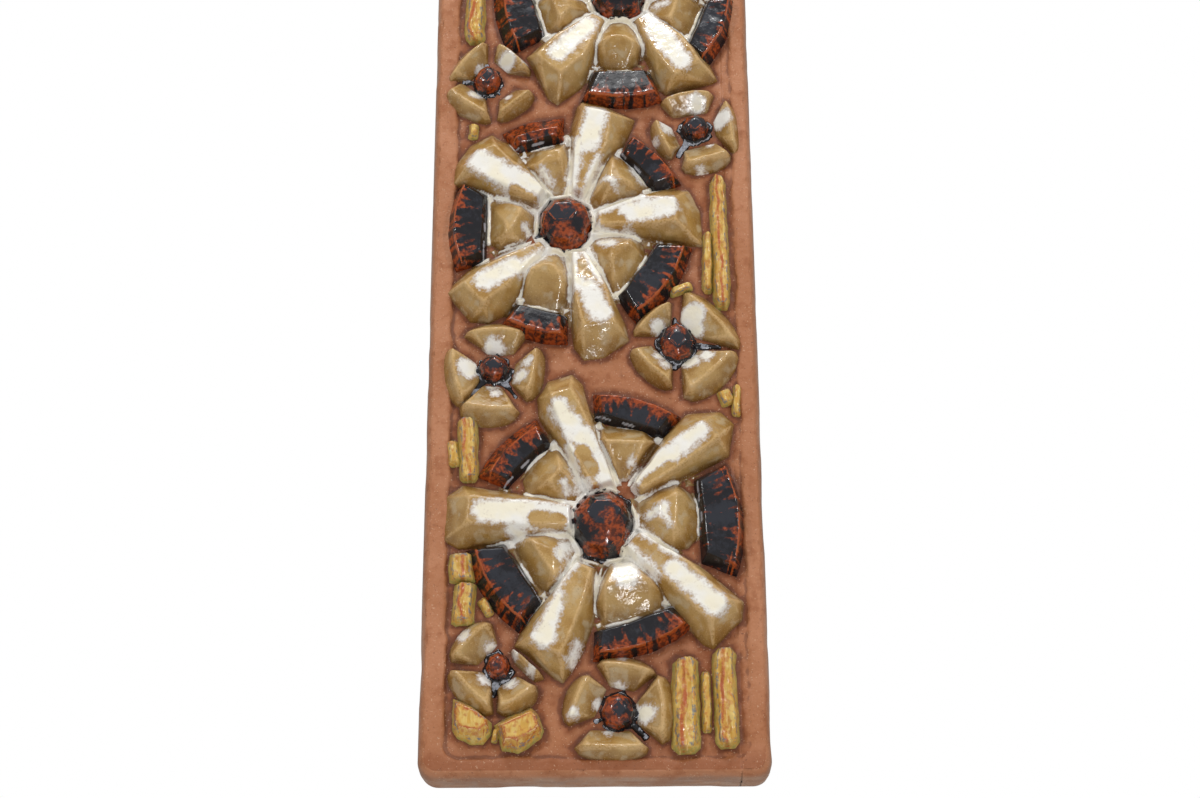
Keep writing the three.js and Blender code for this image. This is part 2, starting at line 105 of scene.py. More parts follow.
LOWER_RAYS = [
    Petal((-10, 3.5), 178, 55, [(0.04, 5, -4, 7), (0.82, 6, -6, 9.5)],
          [(0, 6.5, -6), (0.45, 10, -11.5), (0.88, 14.5, -14.5), (1, 11, -9)],
          [(0.7, 0.5, 0.4, 0.5, 4.5, 5.5), (0.4, 1, 0, 2, 6, 6), (0.48, 7, 0.4, 9, 2, 2.4)],
          [(0.29, 3, 0.12, 3.5, 3, 2.8)]),
    Petal((15.5, 15.5), 41, 52.5, [(0.03, 2, -2.5, 6), (0.4, 6, -5.5, 9), (0.76, 3, -7, 10)],
          [(0, 3, -3), (0.25, 8, -5), (0.5, 11.5, -10.5), (0.78, 13, -13.5), (1, 4, -4)],
          [(0.7, 0.5, 0.38, 0.8, 3.4, 4.2), (0.38, 1.5, 0, 3.5, 4, 3)], [(0.3, -3.5, 0.08, -2, 2.6, 2)]),
    Petal((1, 16), 109, 56, [(0.03, 4, -5, 6), (0.4, 7, -5, 8.5), (0.82, 7, -2.5, 10)],
          [(0, 5.5, -6.5), (0.5, 9.5, -7), (0.73, 14, -7.5), (0.89, 12.5, -9), (1, 5, -6)],
          [(0.7, 5.5, 0.45, 2, 3.6, 4.6), (0.45, 0, 0, -4, 3.6, 4), (0.38, 7, 0.05, 7, 1.8, 3)],
          [(0.3, 2.5, 0.16, 2.2, 2.6, 3.2)]),
    Petal((-5.5, -16.5), 245, 47, [(0.05, 3.5, -3.5, 5.5), (0.4, 6.5, -5, 8.5), (0.9, 8, -6.2, 9.5)],
          [(0, 4.5, -4.5), (0.48, 13.8, -9), (0.8, 14.6, -12.3), (0.95, 14.3, -12), (1.07, 13, 9)],
          [(0.42, -3.2, 0.82, -1.2, 1.8, 4.4), (0.38, -6, 0, -4, 1.4, 2), (0.72, 12, 0.9, 12.5, 1.2, 1.4)]),
    Petal((12.5, -5.5), 316.5, 56, [(0.05, 4, -4, 5.5), (0.45, 7.5, -4.6, 8), (0.9, 6.5, -5.2, 9.5)],
          [(0, 5, -5), (0.45, 11, -5.8), (0.66, 12.5, -10.5), (0.95, 12.5, -13.2), (1.03, 6, -11.5)],
          [(0.42, 1, 0.84, 1.2, 3.6, 4.6), (0, 5, 0.36, 6.5, 2.2, 1.6), (0, -5, 0.36, -5.2, 2.4, 1.4)]),
]
LOWER_SEPALS = [
    Petal((10, 21.5), 88, 24, [(0.6, 8.5, -9, 8)],
          [(0, 1.5, -1.5), (0.4, 5.5, -6.5), (0.75, 12, -14), (1, 9, -8)],
          [(0.25, -2.5, 0.3, -4, 0.6, 0.6)]),
    Petal((16, 5.5), 357, 26, [(0.35, 4, -4, 7.5), (0.62, 8, -8, 8)],
          [(0, 6, -6), (0.25, 12, -11.5), (0.6, 15.5, -15.5), (0.85, 11, -13), (1, 5, -8)],
          [(0.22, -1, 0.42, 1, 2, 2), (0.42, 0, 0.52, -6, 1.6, 0.6)]),
    Petal((9, -15), 278, 27.5, [(0.15, 4, -4, 6), (0.46, 9, -9, 9)],
          [(0, 5, -5), (0.35, 14, -11.5), (0.7, 16.5, -14), (1, 9, -11)],
          [(0.1, 1, 0.34, 1, 4.4, 5)]),
    Petal((-11, -7.5), 212, 22, [(0.45, 1, -1, 7.5), (0.68, 10, -8, 8)],
          [(0, 3, -4), (0.12, 5.5, -8), (0.7, 13, -15.2), (0.95, 11.5, -13), (1.05, 4, -3)],
          [(0.16, 0, 0.36, 3, 2.6, 2)]),
    Petal((-8, 12), 138, 25.5, [(0.53, 5, -3, 8.5)],
          [(0, 3, -3), (0.3, 9.5, -8), (0.72, 13.5, -11.8), (0.95, 9.5, -12), (1.05, 1, -4)],
          [(0.36, 0, 0.24, 1, 0.8, 1)]),
]
LOWER_MOONS = [
    Moon(73.5, 18.5, 46, 61.5, 58, 6.5, 0.9), Moon(3.5, 24.5, 41.5, 61, 58.5, 6.5, 0.25),
    Moon(289, 22, 42.5, 58.5, 56, 6, 0.6), Moon(212.5, 22.5, 37, 57, 52.5, 6, 0.3),
    Moon(137, 19, 40.5, 56.5, 51, 6, 0.75),
]
MIDDLE_RAYS = [
    Petal((4.5, 15), 75.5, 49.6, [(0.05, 2.5, -2.5, 5), (0.5, 7, -7, 9), (0.83, 7, -5.2, 10)],
          [(0, 3.5, -3.5), (0.58, 10.5, -10.5), (0.7, 11.5, -14.5), (0.93, 12, -15.2), (1, 10.5, -1)],
          [(0.8, 1, 0.5, 0.5, 4.6, 4.6), (0.5, 5, 0, 3, 2, 2.6), (0.38, -5.5, 0, -3.5, 1.2, 2.2)]),
    Petal((12, 2), 3, 48, [(0.05, 4, -3, 5.5), (0.45, 9, -5, 8.5), (0.75, 6, -5.3, 10)],
          [(0, 5.5, -5), (0.35, 10.5, -6), (0.7, 16, -10), (0.9, 15, -13), (1, 4, -14)],
          [(0.68, 2, 0.34, 1.5, 4.6, 5), (0.45, 8, 0, 4, 1.8, 2.8), (0, -3, 0.34, -8, 1.6, 1.2)],
          [(0.24, -2.6, 0.1, -2, 2.4, 1.6)]),
    Petal((5, -12), 278.7, 52.6, [(0.04, 3, -2.5, 5), (0.45, 9.5, -4.8, 9), (0.76, 10, -4, 9.7)],
          [(0, 4, -3.5), (0.26, 9.2, -4), (0.72, 15.5, -8.3), (0.88, 15.7, -8.5), (1, 4, -5)],
          [(0.66, 4.5, 0.42, 1.5, 4.8, 4.2), (0.4, -2.5, 0, -3, 2.4, 2.8), (0.36, 7, 0, 3.5, 1.4, 2.6)],
          [(0.27, 0.6, 0.16, 0.6, 1.8, 1.4)]),
    Petal((-9, -9), 220, 48.3, [(0.05, 1.5, -2, 5), (0.52, 6.5, -6, 8.5), (0.85, 7.3, -6, 9.5)],
          [(0, 2.5, -3), (0.3, 3.5, -9.5), (0.7, 15, -13.3), (0.9, 13, -12), (1, 7, -10)],
          [(0.7, -0.5, 0.4, 1.5, 4.2, 4), (0.4, 4, 0, 3.5, 2.4, 1.6), (0.42, -8, 0.05, -5, 1.4, 2.4)]),
    Petal((-10.5, 13.5), 146.5, 41, [(0.05, 3, -3, 5.5), (0.45, 5, -6, 8.5), (0.75, 8, -8, 9.5),
          (0.86, 7.5, -2, 9.5)],
          [(0, 4, -4), (0.4, 8, -9.5), (0.65, 10, -16), (0.95, 15, -16.5), (1.07, 6, -6)],
          [(0.8, 2, 0.4, 1.5, 5, 5.5), (0.4, -1, 0, -2, 4, 3.4), (0.38, 9.5, 0, 6, 1.2, 1.6)],
          [(0.28, 5, 0.1, 4, 2.2, 1.6)]),
]
MIDDLE_SEPALS = [
    Petal((-2.5, 16), 106.7, 26, [(0.55, 6, -4, 8), (0.76, -1, -6, 7.5)],
          [(0, 2.5, -3), (0.38, 8, -8.7), (0.75, 14, -10.3), (1, 6, -9.7)],
          [(0.25, 3, 0.45, 5, 1.2, 1.6)]),
    Petal((12, 12), 52, 27, [(0.38, 0, -2.5, 9), (0.55, 0.5, -5.5, 8.5), (0.72, 4.5, 3.5, 7)],
          [(0, 3, -3), (0.2, 5.8, -6.2), (0.65, 9.5, -14.3), (0.8, 11, -13), (1, 10.5, 0)],
          [(0.4, 1.5, 0.42, -3, 0.8, 1.6), (0.9, -3, 0.8, -10, 0.8, 0.6)]),
    Petal((11, -7), 318, 27.5, [(0.45, 3, 0, 8.5), (0.56, 8, -3.5, 8.5)],
          [(0, 3.5, -3.5), (0.4, 14.5, -8.5), (0.67, 14, -11), (0.88, 10, -13.2), (1, 1, -10.5)],
          [(0.18, 2, 0.34, 4, 1.8, 1.8)]),
    Petal((-6, -11.5), 262, 29, [(0.37, 2.5, -2.5, 9), (0.5, 6.5, -7, 8.5)],
          [(0, 2, -2.5), (0.22, 8, -10), (0.6, 10.3, -12), (0.88, 10, -10), (1, 5.5, -5)]),
    Petal((-14, 3), 181, 20.5, [(0.3, -1, -3, 8), (0.62, 9, 4, 8)],
          [(0, 3, -3), (0.25, 9, -9.5), (0.78, 13, -13.3), (1, 9.5, -11)],
          [(0.2, 4, 0.1, 6, 1, 1.4)]),
]
MIDDLE_MOONS = [
    Moon(106, 15, 42.5, 57, 48.5, 6, 0.8), Moon(40.5, 17.5, 41.5, 56, 52.5, 6, 0.5),
    Moon(326.5, 23.5, 37.5, 56.5, 53, 6, 0.35), Moon(255, 16, 41.5, 57, 54, 6, 0.8),
    Moon(179, 25, 35, 53, 49.5, 6, 0.45),
]
LONG_RAY = [(0, 5, -5), (0.85, 13.5, -13.5), (1, 9, -9)]
PLAIN_SEPAL = [(0, 3, -3), (0.4, 9, -9), (0.8, 12, -12), (1, 7, -7)]
UPPER_RAYS = [
    Petal((-8, -10.5), 237.4, 44.5, [(0.05, 2, -3, 5), (0.5, 6, -10, 8.5), (0.82, 2.5, -11.5, 9),
          (0.86, 2.5, 1, 9.5)],
          [(0, 3, -4), (0.32, 4, -12), (0.55, 10.9, -15.5), (0.8, 12, -18), (1.1, 7.5, 2)],
          [(0.68, -4, 0.2, -1.5, 4.2, 4)]),
    Petal((9, -10), 303.3, 45.5, [(0.05, 3.5, -2.5, 5), (0.5, 8.5, -6, 8.5), (0.86, 7.5, -6.2, 9.5)],
          [(0, 4.5, -3.5), (0.42, 12, -9), (0.8, 13.5, -13.3), (0.9, 13, -12.5), (1.05, 11.5, 8)],
          [(0.76, 0.5, 0.3, 1, 4.4, 4.4), (0.3, 3, 0, 3, 2, 2.6)]),
    Petal((14, 5), 15, 36, [(0.05, 4, -4, 6), (0.75, 6, -6, 9.5)],
          [(0, 5, -5), (0.8, 12.5, -12.5), (1, 9, -9)],
          [(0.66, 0, 0.2, 0, 4, 3.6)]),
    Petal((0, 15), 92, 47, [(0.05, 4, -4, 6), (0.8, 6, -6, 10)],
          LONG_RAY,
          [(0.74, 0.5, 0.3, 0, 4.4, 4)]),
    Petal((-14, 5), 163, 48, [(0.05, 4, -4, 6), (0.8, 6, -6, 9.5)],
          LONG_RAY,
          [(0.7, -0.5, 0.3, 0, 4.4, 4)]),
]
UPPER_SEPALS = [
    Petal((0, -10), 268, 29, [(0.52, 4, -3, 9), (0.6, 8, -7, 8.5)],
          [(0, 2.5, -2.5), (0.25, 9, -8), (0.6, 12.5, -12), (0.86, 9, -9), (1, 4, -4)]),
    Petal((13, -4), 340, 24, [(0.55, 7, -7, 8)],
          [(0, 3, -3), (0.4, 10, -10), (0.8, 12.5, -12), (1, 8, -8)],
          [(0.2, 1, 0.34, 2, 1.6, 1.6)]),
    Petal((10, 13), 53, 25, [(0.55, 6, -6, 8)],
          PLAIN_SEPAL),
    Petal((-10, 13), 127, 25, [(0.55, 6, -6, 8)],
          PLAIN_SEPAL,
          [(0.2, 0, 0.36, 1, 1.6, 1.4)]),
    Petal((-14, -3), 200, 24, [(0.4, 2, -2, 7.5), (0.65, 6, -6, 8)],
          [(0, 3, -3), (0.4, 10, -10), (0.8, 12.5, -12.5), (1, 8, -8)]),
]
UPPER_MOONS = [
    Moon(271, 19, 39, 58, 55, 6, 0.6), Moon(338, 22, 38, 54, 51, 6, 0.3),
    Moon(51, 19, 41, 56, 52, 6, 0.4), Moon(128, 19, 41, 56, 52, 6, 0.6),
    Moon(194, 17, 37.5, 58, 53, 6, 0.3),
]
FLOWERS = [
    Flower("lower_flower", (2, 105), Hub((1.5, 1), 13.5, 16.5, (0.5, 2), 6.5, 6, 12),
           LOWER_RAYS + LOWER_SEPALS, LOWER_MOONS),
    Flower("middle_flower", (-12, 247), Hub((-0.5, 1.5), 12.5, 14, (-1, 1.5), 7, 5, 11),
           MIDDLE_RAYS + MIDDLE_SEPALS, MIDDLE_MOONS),
    Flower("upper_flower", (12, 367), Hub((0, 1), 13, 14, (0, 1), 6.5, 5.5, 11),
           UPPER_RAYS + UPPER_SEPALS, UPPER_MOONS),
]

# A small flower's petal is a slice of a ring: (turn, near, far, left, right, near left, near right),
# then its patches of white glaze as (along, left, radius). A run is dark glaze in a gap: (turn, reach).
SMALL_FLOWERS = [
    SmallFlower((-47, 324), (-0.7, -1), 6.5, 7, [(95, 9.5), (178, 11.5), (262, 9)], [
        (141, 6.5, 18.5, 12.4, 14.5, 4.1, 6.6, [(6.6, -1, 2.2)]),
        (45, 8.5, 19, 11.2, 11.4, 6, 3.5, [(11.5, 0.4, 3.8), (17.4, -6, 1.8)]),
        (232, 8.3, 22.7, 14.2, 11.7, 4.3, 9.4, [(10, 0, 3)]),
        (311, 11, 23, 10.4, 11.2, 5.8, 3.6, [(12.7, 0.2, 1.6)]),
    ]),
    SmallFlower((46, 297), (0, 0), 6.5, 6.5, [(240, 16)], [
        (99, 8.5, 21.6, 13, 11.6, 8.3, 7, [(12.3, -2.6, 3.6), (18.8, 8, 1.4), (20.8, 2.5, 1.4)]),
        (8, 8.7, 20.6, 13.4, 15, 3.5, 3.5, [(12.7, 2.5, 4.4)]),
        (287, 8.5, 23.2, 11.8, 12, 7, 7.8, [(22, -4, 1.6), (8.6, 4, 1.8)]),
        (201, 9, 20.2, 10, 11.2, 5, 5.5, [(11.6, -5, 3.4), (19.5, 0, 1.6)]),
    ]),
    SmallFlower((38, 190), (-2, 0), 8, 9, [(357, 19), (95, 13), (262, 12)], [
        (133, 10, 21.8, 12.4, 10.8, 5, 3, [(12.1, 2.3, 3)]),
        (41, 7, 24.2, 18, 18.2, 8.4, 2, [(11.5, 5.9, 5.4), (9, 0.5, 3.4)]),
        (313, 7, 27, 15, 17, 3.6, 7, [(8.7, -3.1, 4), (12, 3.5, 3)]),
        (223, 10, 22.9, 12.4, 13, 4.5, 8.5, [(10.8, -2.2, 2.6), (12.5, 2.5, 2)]),
    ]),
    SmallFlower((-43, 178), (0, 0), 7, 6.5, [(230, 20), (306, 16), (85, 9)], [
        (90, 7.5, 22.6, 13.4, 14, 3, 8, [(10, 0.5, 4)]),
        (191, 7, 23, 15, 14.4, 3.5, 5, [(11, -2.2, 4.6)]),
        (264.5, 7.5, 27.2, 13.2, 13.5, 4, 4, [(8, 0, 2.2), (11.5, 2, 1.8)]),
        (350, 8, 22.2, 14.2, 12.6, 4.5, 5, [(13.7, 4.5, 2.2), (11.6, -1.7, 3)]),
    ]),
    SmallFlower((-40, 44), (0, 0), 5, 6, [(263, 12.5)], [
        (135, 6.6, 21.6, 11.6, 12, 5, 7, [(7.4, -3.7, 2.6), (19.3, 0.8, 3)]),
        (224, 5.3, 21, 13, 13, 1.8, 3, [(7.4, 0.2, 2.6)]),
        (303, 6.8, 21.8, 9.8, 10.2, 4.5, 4.5, [(8, 0.5, 2.8)]),
        (52, 5, 10.5, 0, 18, -5, 16, [(8, -3, 1.6), (7.4, -12, 2)]),
    ]),
    SmallFlower((9, 25), (0, 0), 7, 8, [(318, 16), (205, 10)], [
        (80, 10, 23.8, 12, 13.4, 5, 5, [(10.3, 1.5, 2.2), (22.8, 2, 1.6)]),
        (160, 7.5, 22.5, 12, 11, 5, 7.5, [(8.2, 0.2, 2), (16.2, 7.6, 2.2)]),
        (270, 7.3, 20.7, 12.8, 17.8, 4.5, 11, [(7.6, -3, 1.8)]),
        (3, 7.5, 24.6, 15, 14.4, 3, 5, [(11, -1.6, 4)]),
    ]),
    SmallFlower((-44, 428), (0, 0), 6.5, 6.5, [(135, 10), (320, 11)], [
        (90, 8, 21, 12.4, 12, 5, 4, [(10, 1, 3)]),
        (180, 8, 20.5, 12, 12.6, 4, 5.5, [(11, 0, 3.6)]),
        (270, 8, 20.5, 12, 12, 4.5, 4, [(9, -2, 2.4)]),
        (0, 8, 21, 12.4, 12, 4, 4.5, [(10.5, 1, 3.4)]),
    ]),
    SmallFlower((47, 431), (0, 0), 6.5, 6.5, [(92, 11), (184, 9)], [
        (45, 8, 20, 12.4, 12, 4, 5, [(10, 1, 3)]),
        (135, 8, 20, 12, 12.4, 5, 4, [(11, 0, 3.4)]),
        (225, 8, 20, 12, 12, 4, 4.5, [(9.5, 0, 2.6)]),
        (315, 8, 19, 12, 12.2, 4.5, 4, [(10, -1, 3.2)]),
    ]),
]

# Ribbed bars: (across, up, half width, half length, turn, rise).
BARS = [
    (-54.5, 365, 4.5, 22, 91, 4), (56, 240, 3.8, 33, 90.5, 4.5), (50.3, 230, 2.3, 15, 89, 3),
    (-54.5, 297, 2.4, 4, 85, 2), (-53.5, 140.5, 4.4, 15, 91, 4.5), (-60, 139, 2.8, 6.5, 95, 2.5),
    (-55, 87, 5.5, 7, 90, 4), (-54, 71, 4.8, 9.5, 88, 4.5), (36.8, 28, 5.8, 20.3, 90, 5),
    (45.3, 29, 2.2, 12.5, 90, 2.5), (53.3, 31, 5, 21, 91, 5), (61.5, 163, 1.8, 7.5, 85, 2.5),
    (57, 165, 3, 4, 110, 2.5), (38.5, 216.5, 2.2, 5.5, 20, 2), (-45, 70, 2, 4, 120, 1.5),
    (-40.3, 15.5, 1.4, 3, 80, 2),
]
BLOCKS = [
    Block((-58, 22), 0, 16, 5, [(0, 9, -4), (0.1, 7.5, -7), (0.45, 6, -9.5), (0.8, 1, -10), (1, -1, -6)]),
    Block((-38, 14), 20, 17.5, 6.5, [(-0.05, 6.5, -5), (0.25, 8, -8.8), (0.9, 8.5, -5.5), (1, 5, -3)]),
]

# ---- Places and noise ----


def plus(spot, shift):
    return (spot[0] + shift[0], spot[1] + shift[1])


def beside(heel, turn, along, left):
    """A point along and to the left of an axis that leaves the heel at a turn in degrees."""
    angle = math.radians(turn)
    across = along * math.cos(angle) - left * math.sin(angle)
    up = along * math.sin(angle) + left * math.cos(angle)
    return plus(heel, (across, up))


def own_axes(heel, turn, u, v):
    """How far each place is along an axis and to the left of it."""
    angle = math.radians(turn)
    across, up = u - heel[0], v - heel[1]
    along = across * math.cos(angle) + up * math.sin(angle)
    left = up * math.cos(angle) - across * math.sin(angle)
    return along, left


def spread(count, first, last):
    return np.linspace(first, last, count)


def oval(centre, count, wide, tall):
    turns = np.radians(spread(count + 1, 0, 360)[1:])
    return [plus(centre, (wide * math.cos(turn), tall * math.sin(turn))) for turn in turns]


def ease(values, low, high):
    """0 below low and 1 above high, with a smooth rise between them. Low may be the larger."""
    share = np.clip((values - low) / (high - low), 0, 1)
    return share * share * (3 - 2 * share)


def bell(values, width):
    """1 at 0, falling away to both sides over a width."""
    return np.exp(-((values / width) ** 2))


LATTICE = 128


def noise(u, v, size, seed):
    """Smooth unevenness between -1 and 1 whose lumps are about as wide as size."""
    lattice = np.random.default_rng(seed).uniform(-1, 1, (LATTICE, LATTICE))
    x, y = u / size + LATTICE, v / size + LATTICE
    i, j = np.floor(x).astype(int), np.floor(y).astype(int)
    fx, fy = ease(x - i, 0, 1), ease(y - j, 0, 1)
    i, j = i % LATTICE, j % LATTICE
    i1, j1 = (i + 1) % LATTICE, (j + 1) % LATTICE
    low = lattice[i, j] * (1 - fx) + lattice[i1, j] * fx
    high = lattice[i, j1] * (1 - fx) + lattice[i1, j1] * fx
    return low * (1 - fy) + high * fy


def rough(u, v, size, seed, layers=3):
    """Layers of noise, each half as wide and half as strong as the one before."""
    return sum(noise(u, v, size / 2**n, seed + n) / 2**n for n in range(layers))


def soft_least(levels, softness):
    """The least of several levels, rounded where two of them meet."""
    stack = np.stack(levels)
    least = stack.min(0)
    return least - softness * np.log(np.exp((least - stack) / softness).sum(0))


def soft_most(levels, softness):
    return -soft_least([-level for level in levels], softness)


def blurred(field, reach):
    """The field averaged over a Gaussian whose standard deviation is reach cells."""
    offsets = np.arange(-int(3 * reach), int(3 * reach) + 1)
    weights = np.exp(-((offsets / reach) ** 2) / 2)
    weights /= weights.sum()
    for axis in (0, 1):
        field = sum(w * np.roll(field, k, axis) for k, w in zip(offsets, weights))
    return field


# ---- Carved forms ----


def facets(points):
    """The planes round the convex hull of a few points: rows of a unit normal and its offset."""
    points = np.array(points, dtype=float)
    a, b, c = (points[list(corner)] for corner in zip(*itertools.combinations(range(len(points)), 3)))
    normals = np.cross(b - a, c - a)
    lengths = np.linalg.norm(normals, axis=1)
    solid = lengths > 1e-6
    normals = normals[solid] / lengths[solid, None]
    offsets = (normals * a[solid]).sum(1)
    beyond = normals @ points.T - offsets[:, None]
    outward = beyond.max(1) < 1e-6
    inward = beyond.min(1) > -1e-6
    planes = np.vstack([
        np.column_stack([normals, offsets])[outward],
        -np.column_stack([normals, offsets])[inward],
    ])
    _, first = np.unique(np.round(planes, 3), axis=0, return_index=True)
    return planes[first]


class Form:
    """A faceted block that stands on the ground, as height above the front face at any place."""

    STEEP = 5
    UPRIGHT = 0.05

    def __init__(self, outline, crest):
        points = [(*spot, level) for spot in outline for level in (ROOT, GROUND)]
        points += [(*spot, height) for spot, height in crest]
        planes = facets(points)
        self.walls = planes[np.abs(planes[:, 2]) < self.UPRIGHT]
        self.tops = planes[planes[:, 2] >= self.UPRIGHT]

    def inside(self, u, v):
        """Distance in from the outline, negative outside it."""
        return np.min([o - a * u - b * v for a, b, _, o in self.walls], axis=0)

    def level(self, u, v, softness=0.45):
        levels = [(o - a * u - b * v) / c for a, b, c, o in self.tops]
        levels += [GROUND + self.STEEP * (o - a * u - b * v) for a, b, _, o in self.walls]
        return soft_least(levels, softness)

    def seam(self, u, v):
        """0 on the edges between the upper facets, and more away from them."""
        levels = np.sort([(o - a * u - b * v) / c for a, b, c, o in self.tops], axis=0)
        return levels[1] - levels[0]


def outline_places(petal, centre):
    heel = plus(centre, petal.heel)
    return [
        beside(heel, petal.turn, share * petal.length, left)
        for share, *lefts in petal.outline
        for left in lefts
    ]


def station_form(petal, centre=(0, 0)):
    heel = plus(centre, petal.heel)
    crest = [
        (beside(heel, petal.turn, share * petal.length, left), height)
        for share, *lefts, height in petal.crest
        for left in lefts
    ]
    return Form(outline_places(petal, centre), crest)


def moon_form(centre, moon):
    """A half moon: a slice of a ring with a straight inner side."""
    middle, half, inner = moon.middle, moon.spread, moon.inner
    across = inner * math.tan(math.radians(half))
    outline = [beside(centre, middle, inner, side * across) for side in (1, -1)]
    for turn in spread(ARC["rim_steps"], middle - half, middle + half):
        outline.append(beside(centre, turn, moon.outer, 0))
    low, inset = moon.rise - ARC["inner_drop"], across - ARC["end_inset"]
    crest = [(beside(centre, middle, inner + ARC["inner_bevel"], side * inset), low) for side in (1, -1)]
    reach = half - math.degrees(ARC["end_inset"] / moon.ridge)
    for turn in spread(ARC["ridge_steps"], middle - reach, middle + reach):
        crest.append((beside(centre, turn, moon.ridge, 0), moon.rise))
    return Form(outline, crest)


def hub_form(centre, wide, tall, top, top_wide, top_tall, rise, corners, top_corners):
    out = HUB["shoulder_out"]
    shoulder = oval(centre, corners, (wide + top_wide) / 2 + out, (tall + top_tall) / 2 + out)
    crest = [(spot, rise * HUB["shoulder_rise"]) for spot in shoulder]
    crest += [(spot, rise) for spot in oval(plus(centre, top), top_corners, top_wide, top_tall)]
    return Form(oval(centre, corners, wide, tall), crest)


def large_hub(flower):
    shift, *sizes = flower.hub
    return hub_form(plus(flower.centre, shift), *sizes, HUB["corners"], HUB["top_corners"])


def small_hub(flower):
    spot, wide, tall = plus(flower.centre, flower.shift), flower.wide, flower.tall
    share, rise, *corners = SMALL_HUB.values()
    return hub_form(spot, wide, tall, (0, 0), wide * share, tall * share, rise, *corners)


def petal_form(centre, turn, near, far, left, right, near_left, near_right):
    waist = near + (far - near) * PETAL["waist"]

    def arc(reach, share, count):
        return [
            beside(
                centre, turn, waist + (reach - waist) * math.cos(step),
                share * (left if step > 0 else right) * math.sin(step),
            )
            for step in spread(count, -math.pi / 2, math.pi / 2)
        ]

    outline = arc(far, 1, PETAL["rim_steps"])
    outline += [beside(centre, turn, near, near_left), beside(centre, turn, near, -near_right)]
    crest = arc(waist + (far - waist) * PETAL["reach"], PETAL["width"], PETAL["crest_steps"])
    middle = (PETAL["crest_steps"] - 1) / 2
    heights = [PETAL["rise"] - abs(step - middle) * PETAL["fall"] for step in range(PETAL["crest_steps"])]
    return Form(outline, list(zip(crest, heights)))


def bar_form(across, up, half_width, half_length, turn, rise):
    def corners(width, length):
        return [
            beside((across, up), turn, end * length * reach, side * width * share)
            for end in (1, -1)
            for side in (1, -1)
            for reach, share in ((1, BAR["end_width"]), (BAR["shoulder"], 1))
        ]

    top = corners(half_width * BAR["top_width"], half_length - BAR["top_inset"])
    return Form(corners(half_width, half_length), [(spot, rise) for spot in top])


def block_form(block):
    middle, width = 0.5, BLOCK["top_width"]
    crest = [
        (middle + (share - middle) * BLOCK["top_length"], left * width, right * width, block.rise)
        for share, left, right in block.outline
    ]
    return station_form(Petal(block.heel, block.turn, block.length, crest, block.outline))


def all_forms():
    forms = [bar_form(*bar) for bar in BARS] + [block_form(block) for block in BLOCKS]
    for flower in FLOWERS:
        forms += [station_form(petal, flower.centre) for petal in flower.petals]
        forms += [moon_form(flower.centre, moon) for moon in flower.moons]
        forms.append(large_hub(flower))
    for flower in SMALL_FLOWERS:
        forms += [petal_form(flower.centre, *petal[:7]) for petal in flower.petals]
        forms.append(small_hub(flower))
    return forms


# ---- Meshes ----

# How far a carved surface reaches down into the clay that it stands on.
SKIRT = 1.4


def hand_made(u, v, amount):
    """Places shifted a little, so that straight edges wander as a knife does."""
    across = amount * rough(u, v, 11, 5)
    up = amount * rough(u, v, 11, 15)
    return u + across, v + up


def around(spot, reach):
    """Two opposite corners of a square round a spot."""
    return [plus(spot, (-reach, -reach)), plus(spot, (reach, reach))]


def grid(spots, margin, step, waver):
    """Grids of places that cover some spots and a margin round them, and the same places hand-warped."""
    step = step / MM
    low, high = np.min(spots, axis=0) - margin, np.max(spots, axis=0) + margin
    counts = np.ceil((high - low) / step).astype(int) + 1
    across, up = (start + step * np.arange(count) for start, count in zip(low, counts))
    u, v = np.meshgrid(across, up, indexing="ij")
    return u, v, hand_made(u, v, waver / MM)


def mesh_piece(name, points, faces, marks, paint):
    """A smooth-shaded piece of the plaque, with its marks as point attributes for its material."""
    mesh = bpy.data.meshes.new(name)
    mesh.from_pydata(points.tolist(), [], faces)
    mesh.shade_smooth()
    for key, values in marks.items():
        mesh.attributes.new(key, "FLOAT", "POINT").data.foreach_set("value", values.astype(np.float32))
    mesh.materials.append(bpy.data.materials.get(paint.__name__) or paint(Look(paint.__name__)))
    piece = show(name, mesh)
    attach(piece, BODY)
    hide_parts(NODE)


def in_frame(u, v, level):
    """Places on the plaque's face as points in the frame, kept inside the CAD's box."""
    low, high = CAD_BOX
    y = np.clip(-(THICKNESS + level) * MM, low[1], high[1])
    return np.stack([u * MM, y, (v - LENGTH / 2) * MM], -1)


def quads(rows, columns):
    """Corner numbers of the faces between the points of a grid, seen anticlockwise from the front."""
    number = np.arange(rows * columns).reshape(rows, columns)
    corners = [number[:-1, :-1], number[1:, :-1], number[1:, 1:], number[:-1, 1:]]
    return np.stack([corner.ravel() for corner in corners], -1)


def relief_piece(name, u, v, level, marks, paint):
    """A carved surface on a grid of places, kept where it rises out of the clay."""
    faces = quads(*level.shape)
    marks["lift"] = level
    level = np.maximum(level, GROUND - 2 * SKIRT)
    shown = level.ravel() > GROUND - SKIRT
    faces = faces[shown[faces].any(1)]
    used, faces = np.unique(faces, return_inverse=True)
    points = in_frame(u, v, level).reshape(-1, 3)[used]
    marks = {key: values.ravel()[used] for key, values in marks.items()}
    mesh_piece(name, points, faces.reshape(-1, 4).tolist(), marks, paint)


def edge_mark(level, reach):
    """Positive on ridges and negative in hollows."""
    level = np.maximum(level, GROUND)
    return level - blurred(level, reach)


